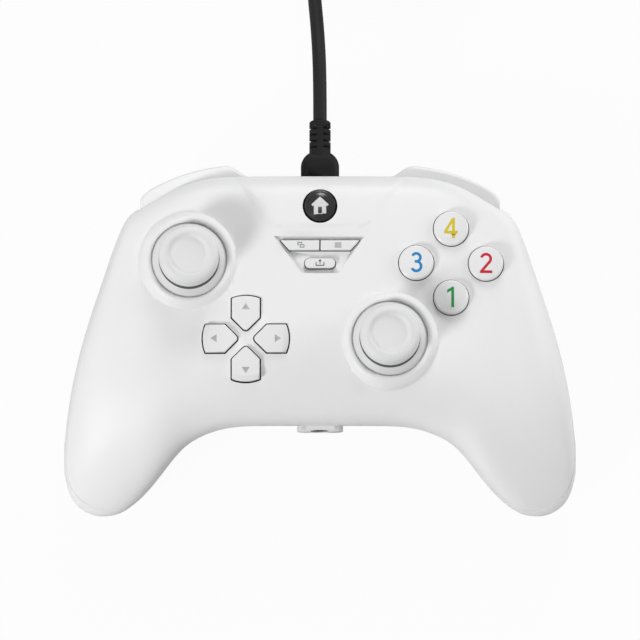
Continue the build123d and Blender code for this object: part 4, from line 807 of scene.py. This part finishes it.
def makeCord():
    points = cordFacts["lead"] + coilPoints() + cordFacts["tail"]
    line = bpy.data.curves.new("cable", "CURVE")
    line.dimensions = "3D"
    line.resolution_u = cordFacts["smoothSteps"]
    line.bevel_depth = cordFacts["diameter"] / 2 * mm
    line.bevel_resolution = cordFacts["smoothSteps"]
    spline = line.splines.new("NURBS")
    spline.points.add(len(points) - 1)
    for point, place in zip(spline.points, points):
        point.co = (*(Vector(place) * mm), 1)
    spline.order_u = 3
    spline.use_endpoint_u = True
    line.use_fill_caps = True
    cord = newObject("cable", line)
    line.materials.append(finishes["cordRubber"])
    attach(cord, "casing")
    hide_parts("cable_lead", "cable_coil", "cable_tail")
    return cord


cord = makeCord()
relief = smoothNode("plug_boot", "plugRubber", angle=30)
plug = smoothNode("cord_plug", "plating", angle=40)
tie = smoothNode("cable_tie", "strapCloth", angle=30)
farBoot = smoothNode("far_plug_boot", "plugRubber", angle=30)
farPlug = smoothNode("far_plug", "plating", angle=30)
print("cord laid")

# Stage: pale floor, soft lamps and the camera of the photograph; sizes and places in metres
stageLook = {
    "floorSize": 3,
    "floorHeight": -0.00003,
    "floorColour": 0.6,
    "floorRough": 0.9,
    "floorGlow": 0.95,
    "worldStrength": 0.35,
    "lamps": {
        "key": {"place": (-0.88, -0.74, 0.85), "size": 0.36, "watts": 11.9},
        "top": {"place": (-0.1, 0.25, 1.4), "size": 0.9, "watts": 2.2},
        "right": {"place": (1.15, 0.35, 0.34), "size": 0.6, "watts": 6.0},
        "rear": {"place": (0.1, 1.05, 0.55), "size": 0.6, "watts": 5.8},
    },
    "lampTarget": (0, 0, 0.03),
    "cameraTarget": (0, 0.004, 0.03),
    "elevation": 81.6,
    "distance": 2.5,
    "viewWidth": 0.1916,
    "sensor": 36,  # mm
    "clipEnd": 20,
}


def makeFloor():
    work = bmesh.new()
    made = bmesh.ops.create_grid(work, x_segments=8, y_segments=8, size=stageLook["floorSize"])
    bmesh.ops.translate(work, verts=made["verts"], vec=(0, 0, stageLook["floorHeight"]))
    mesh = bpy.data.meshes.new("floor")
    work.to_mesh(mesh)
    work.free()
    floor = newObject("floor", mesh)
    paper = bpy.data.materials.new("floorPaper")
    paper.use_nodes = True
    nodes = paper.node_tree.nodes
    link = paper.node_tree.links.new
    shader = nodes["Principled BSDF"]
    shader.inputs["Base Color"].default_value = (stageLook["floorColour"],) * 3 + (1,)
    shader.inputs["Roughness"].default_value = stageLook["floorRough"]
    glow = nodes.new("ShaderNodeEmission")
    rays = nodes.new("ShaderNodeLightPath")
    seen = nodes.new("ShaderNodeMath")
    seen.operation = "MAXIMUM"
    share = nodes.new("ShaderNodeMath")
    share.operation = "MULTIPLY"
    share.inputs[1].default_value = stageLook["floorGlow"]
    blend = nodes.new("ShaderNodeMixShader")
    link(rays.outputs["Is Camera Ray"], seen.inputs[0])
    link(rays.outputs["Is Transmission Ray"], seen.inputs[1])
    link(seen.outputs["Value"], share.inputs[0])
    link(share.outputs["Value"], blend.inputs["Fac"])
    link(shader.outputs["BSDF"], blend.inputs[1])
    link(glow.outputs["Emission"], blend.inputs[2])
    link(blend.outputs["Shader"], nodes["Material Output"].inputs["Surface"])
    mesh.materials.append(paper)


# The world is white to the camera, and dimmer as light on the object
def makeWorld():
    world = bpy.data.worlds.new("studio")
    bpy.context.scene.world = world
    world.use_nodes = True
    nodes = world.node_tree.nodes
    link = world.node_tree.links.new
    dim = nodes["Background"]
    dim.inputs["Color"].default_value = (1, 1, 1, 1)
    dim.inputs["Strength"].default_value = stageLook["worldStrength"]
    bright = nodes.new("ShaderNodeBackground")
    bright.inputs["Color"].default_value = (1, 1, 1, 1)
    rays = nodes.new("ShaderNodeLightPath")
    blend = nodes.new("ShaderNodeMixShader")
    link(rays.outputs["Is Camera Ray"], blend.inputs["Fac"])
    link(dim.outputs["Background"], blend.inputs[1])
    link(bright.outputs["Background"], blend.inputs[2])
    link(blend.outputs["Shader"], nodes["World Output"].inputs["Surface"])


def makeLamps():
    for name, lamp in stageLook["lamps"].items():
        light = bpy.data.lights.new(name, "AREA")
        light.shape = "DISK"
        light.size = lamp["size"]
        light.energy = lamp["watts"]
        holder = newObject(name, light)
        holder.location = lamp["place"]
        aim = Vector(stageLook["lampTarget"]) - Vector(lamp["place"])
        holder.rotation_euler = aim.to_track_quat("-Z", "Y").to_euler()


def makeCamera():
    distance = stageLook["distance"]
    lens = bpy.data.cameras.new("photoView")
    lens.sensor_width = stageLook["sensor"]
    lens.lens = stageLook["sensor"] * distance / stageLook["viewWidth"]
    lens.clip_end = stageLook["clipEnd"]
    camera = newObject("photoView", lens)
    rise = radians(stageLook["elevation"])
    away = Vector((0, -cos(rise), sin(rise)))
    camera.location = Vector(stageLook["cameraTarget"]) + distance * away
    camera.rotation_euler = (pi / 2 - rise, 0, 0)
    bpy.context.scene.camera = camera


makeFloor()
makeWorld()
makeLamps()
makeCamera()
bpy.context.scene.view_settings.view_transform = "Standard"
print("stage set")
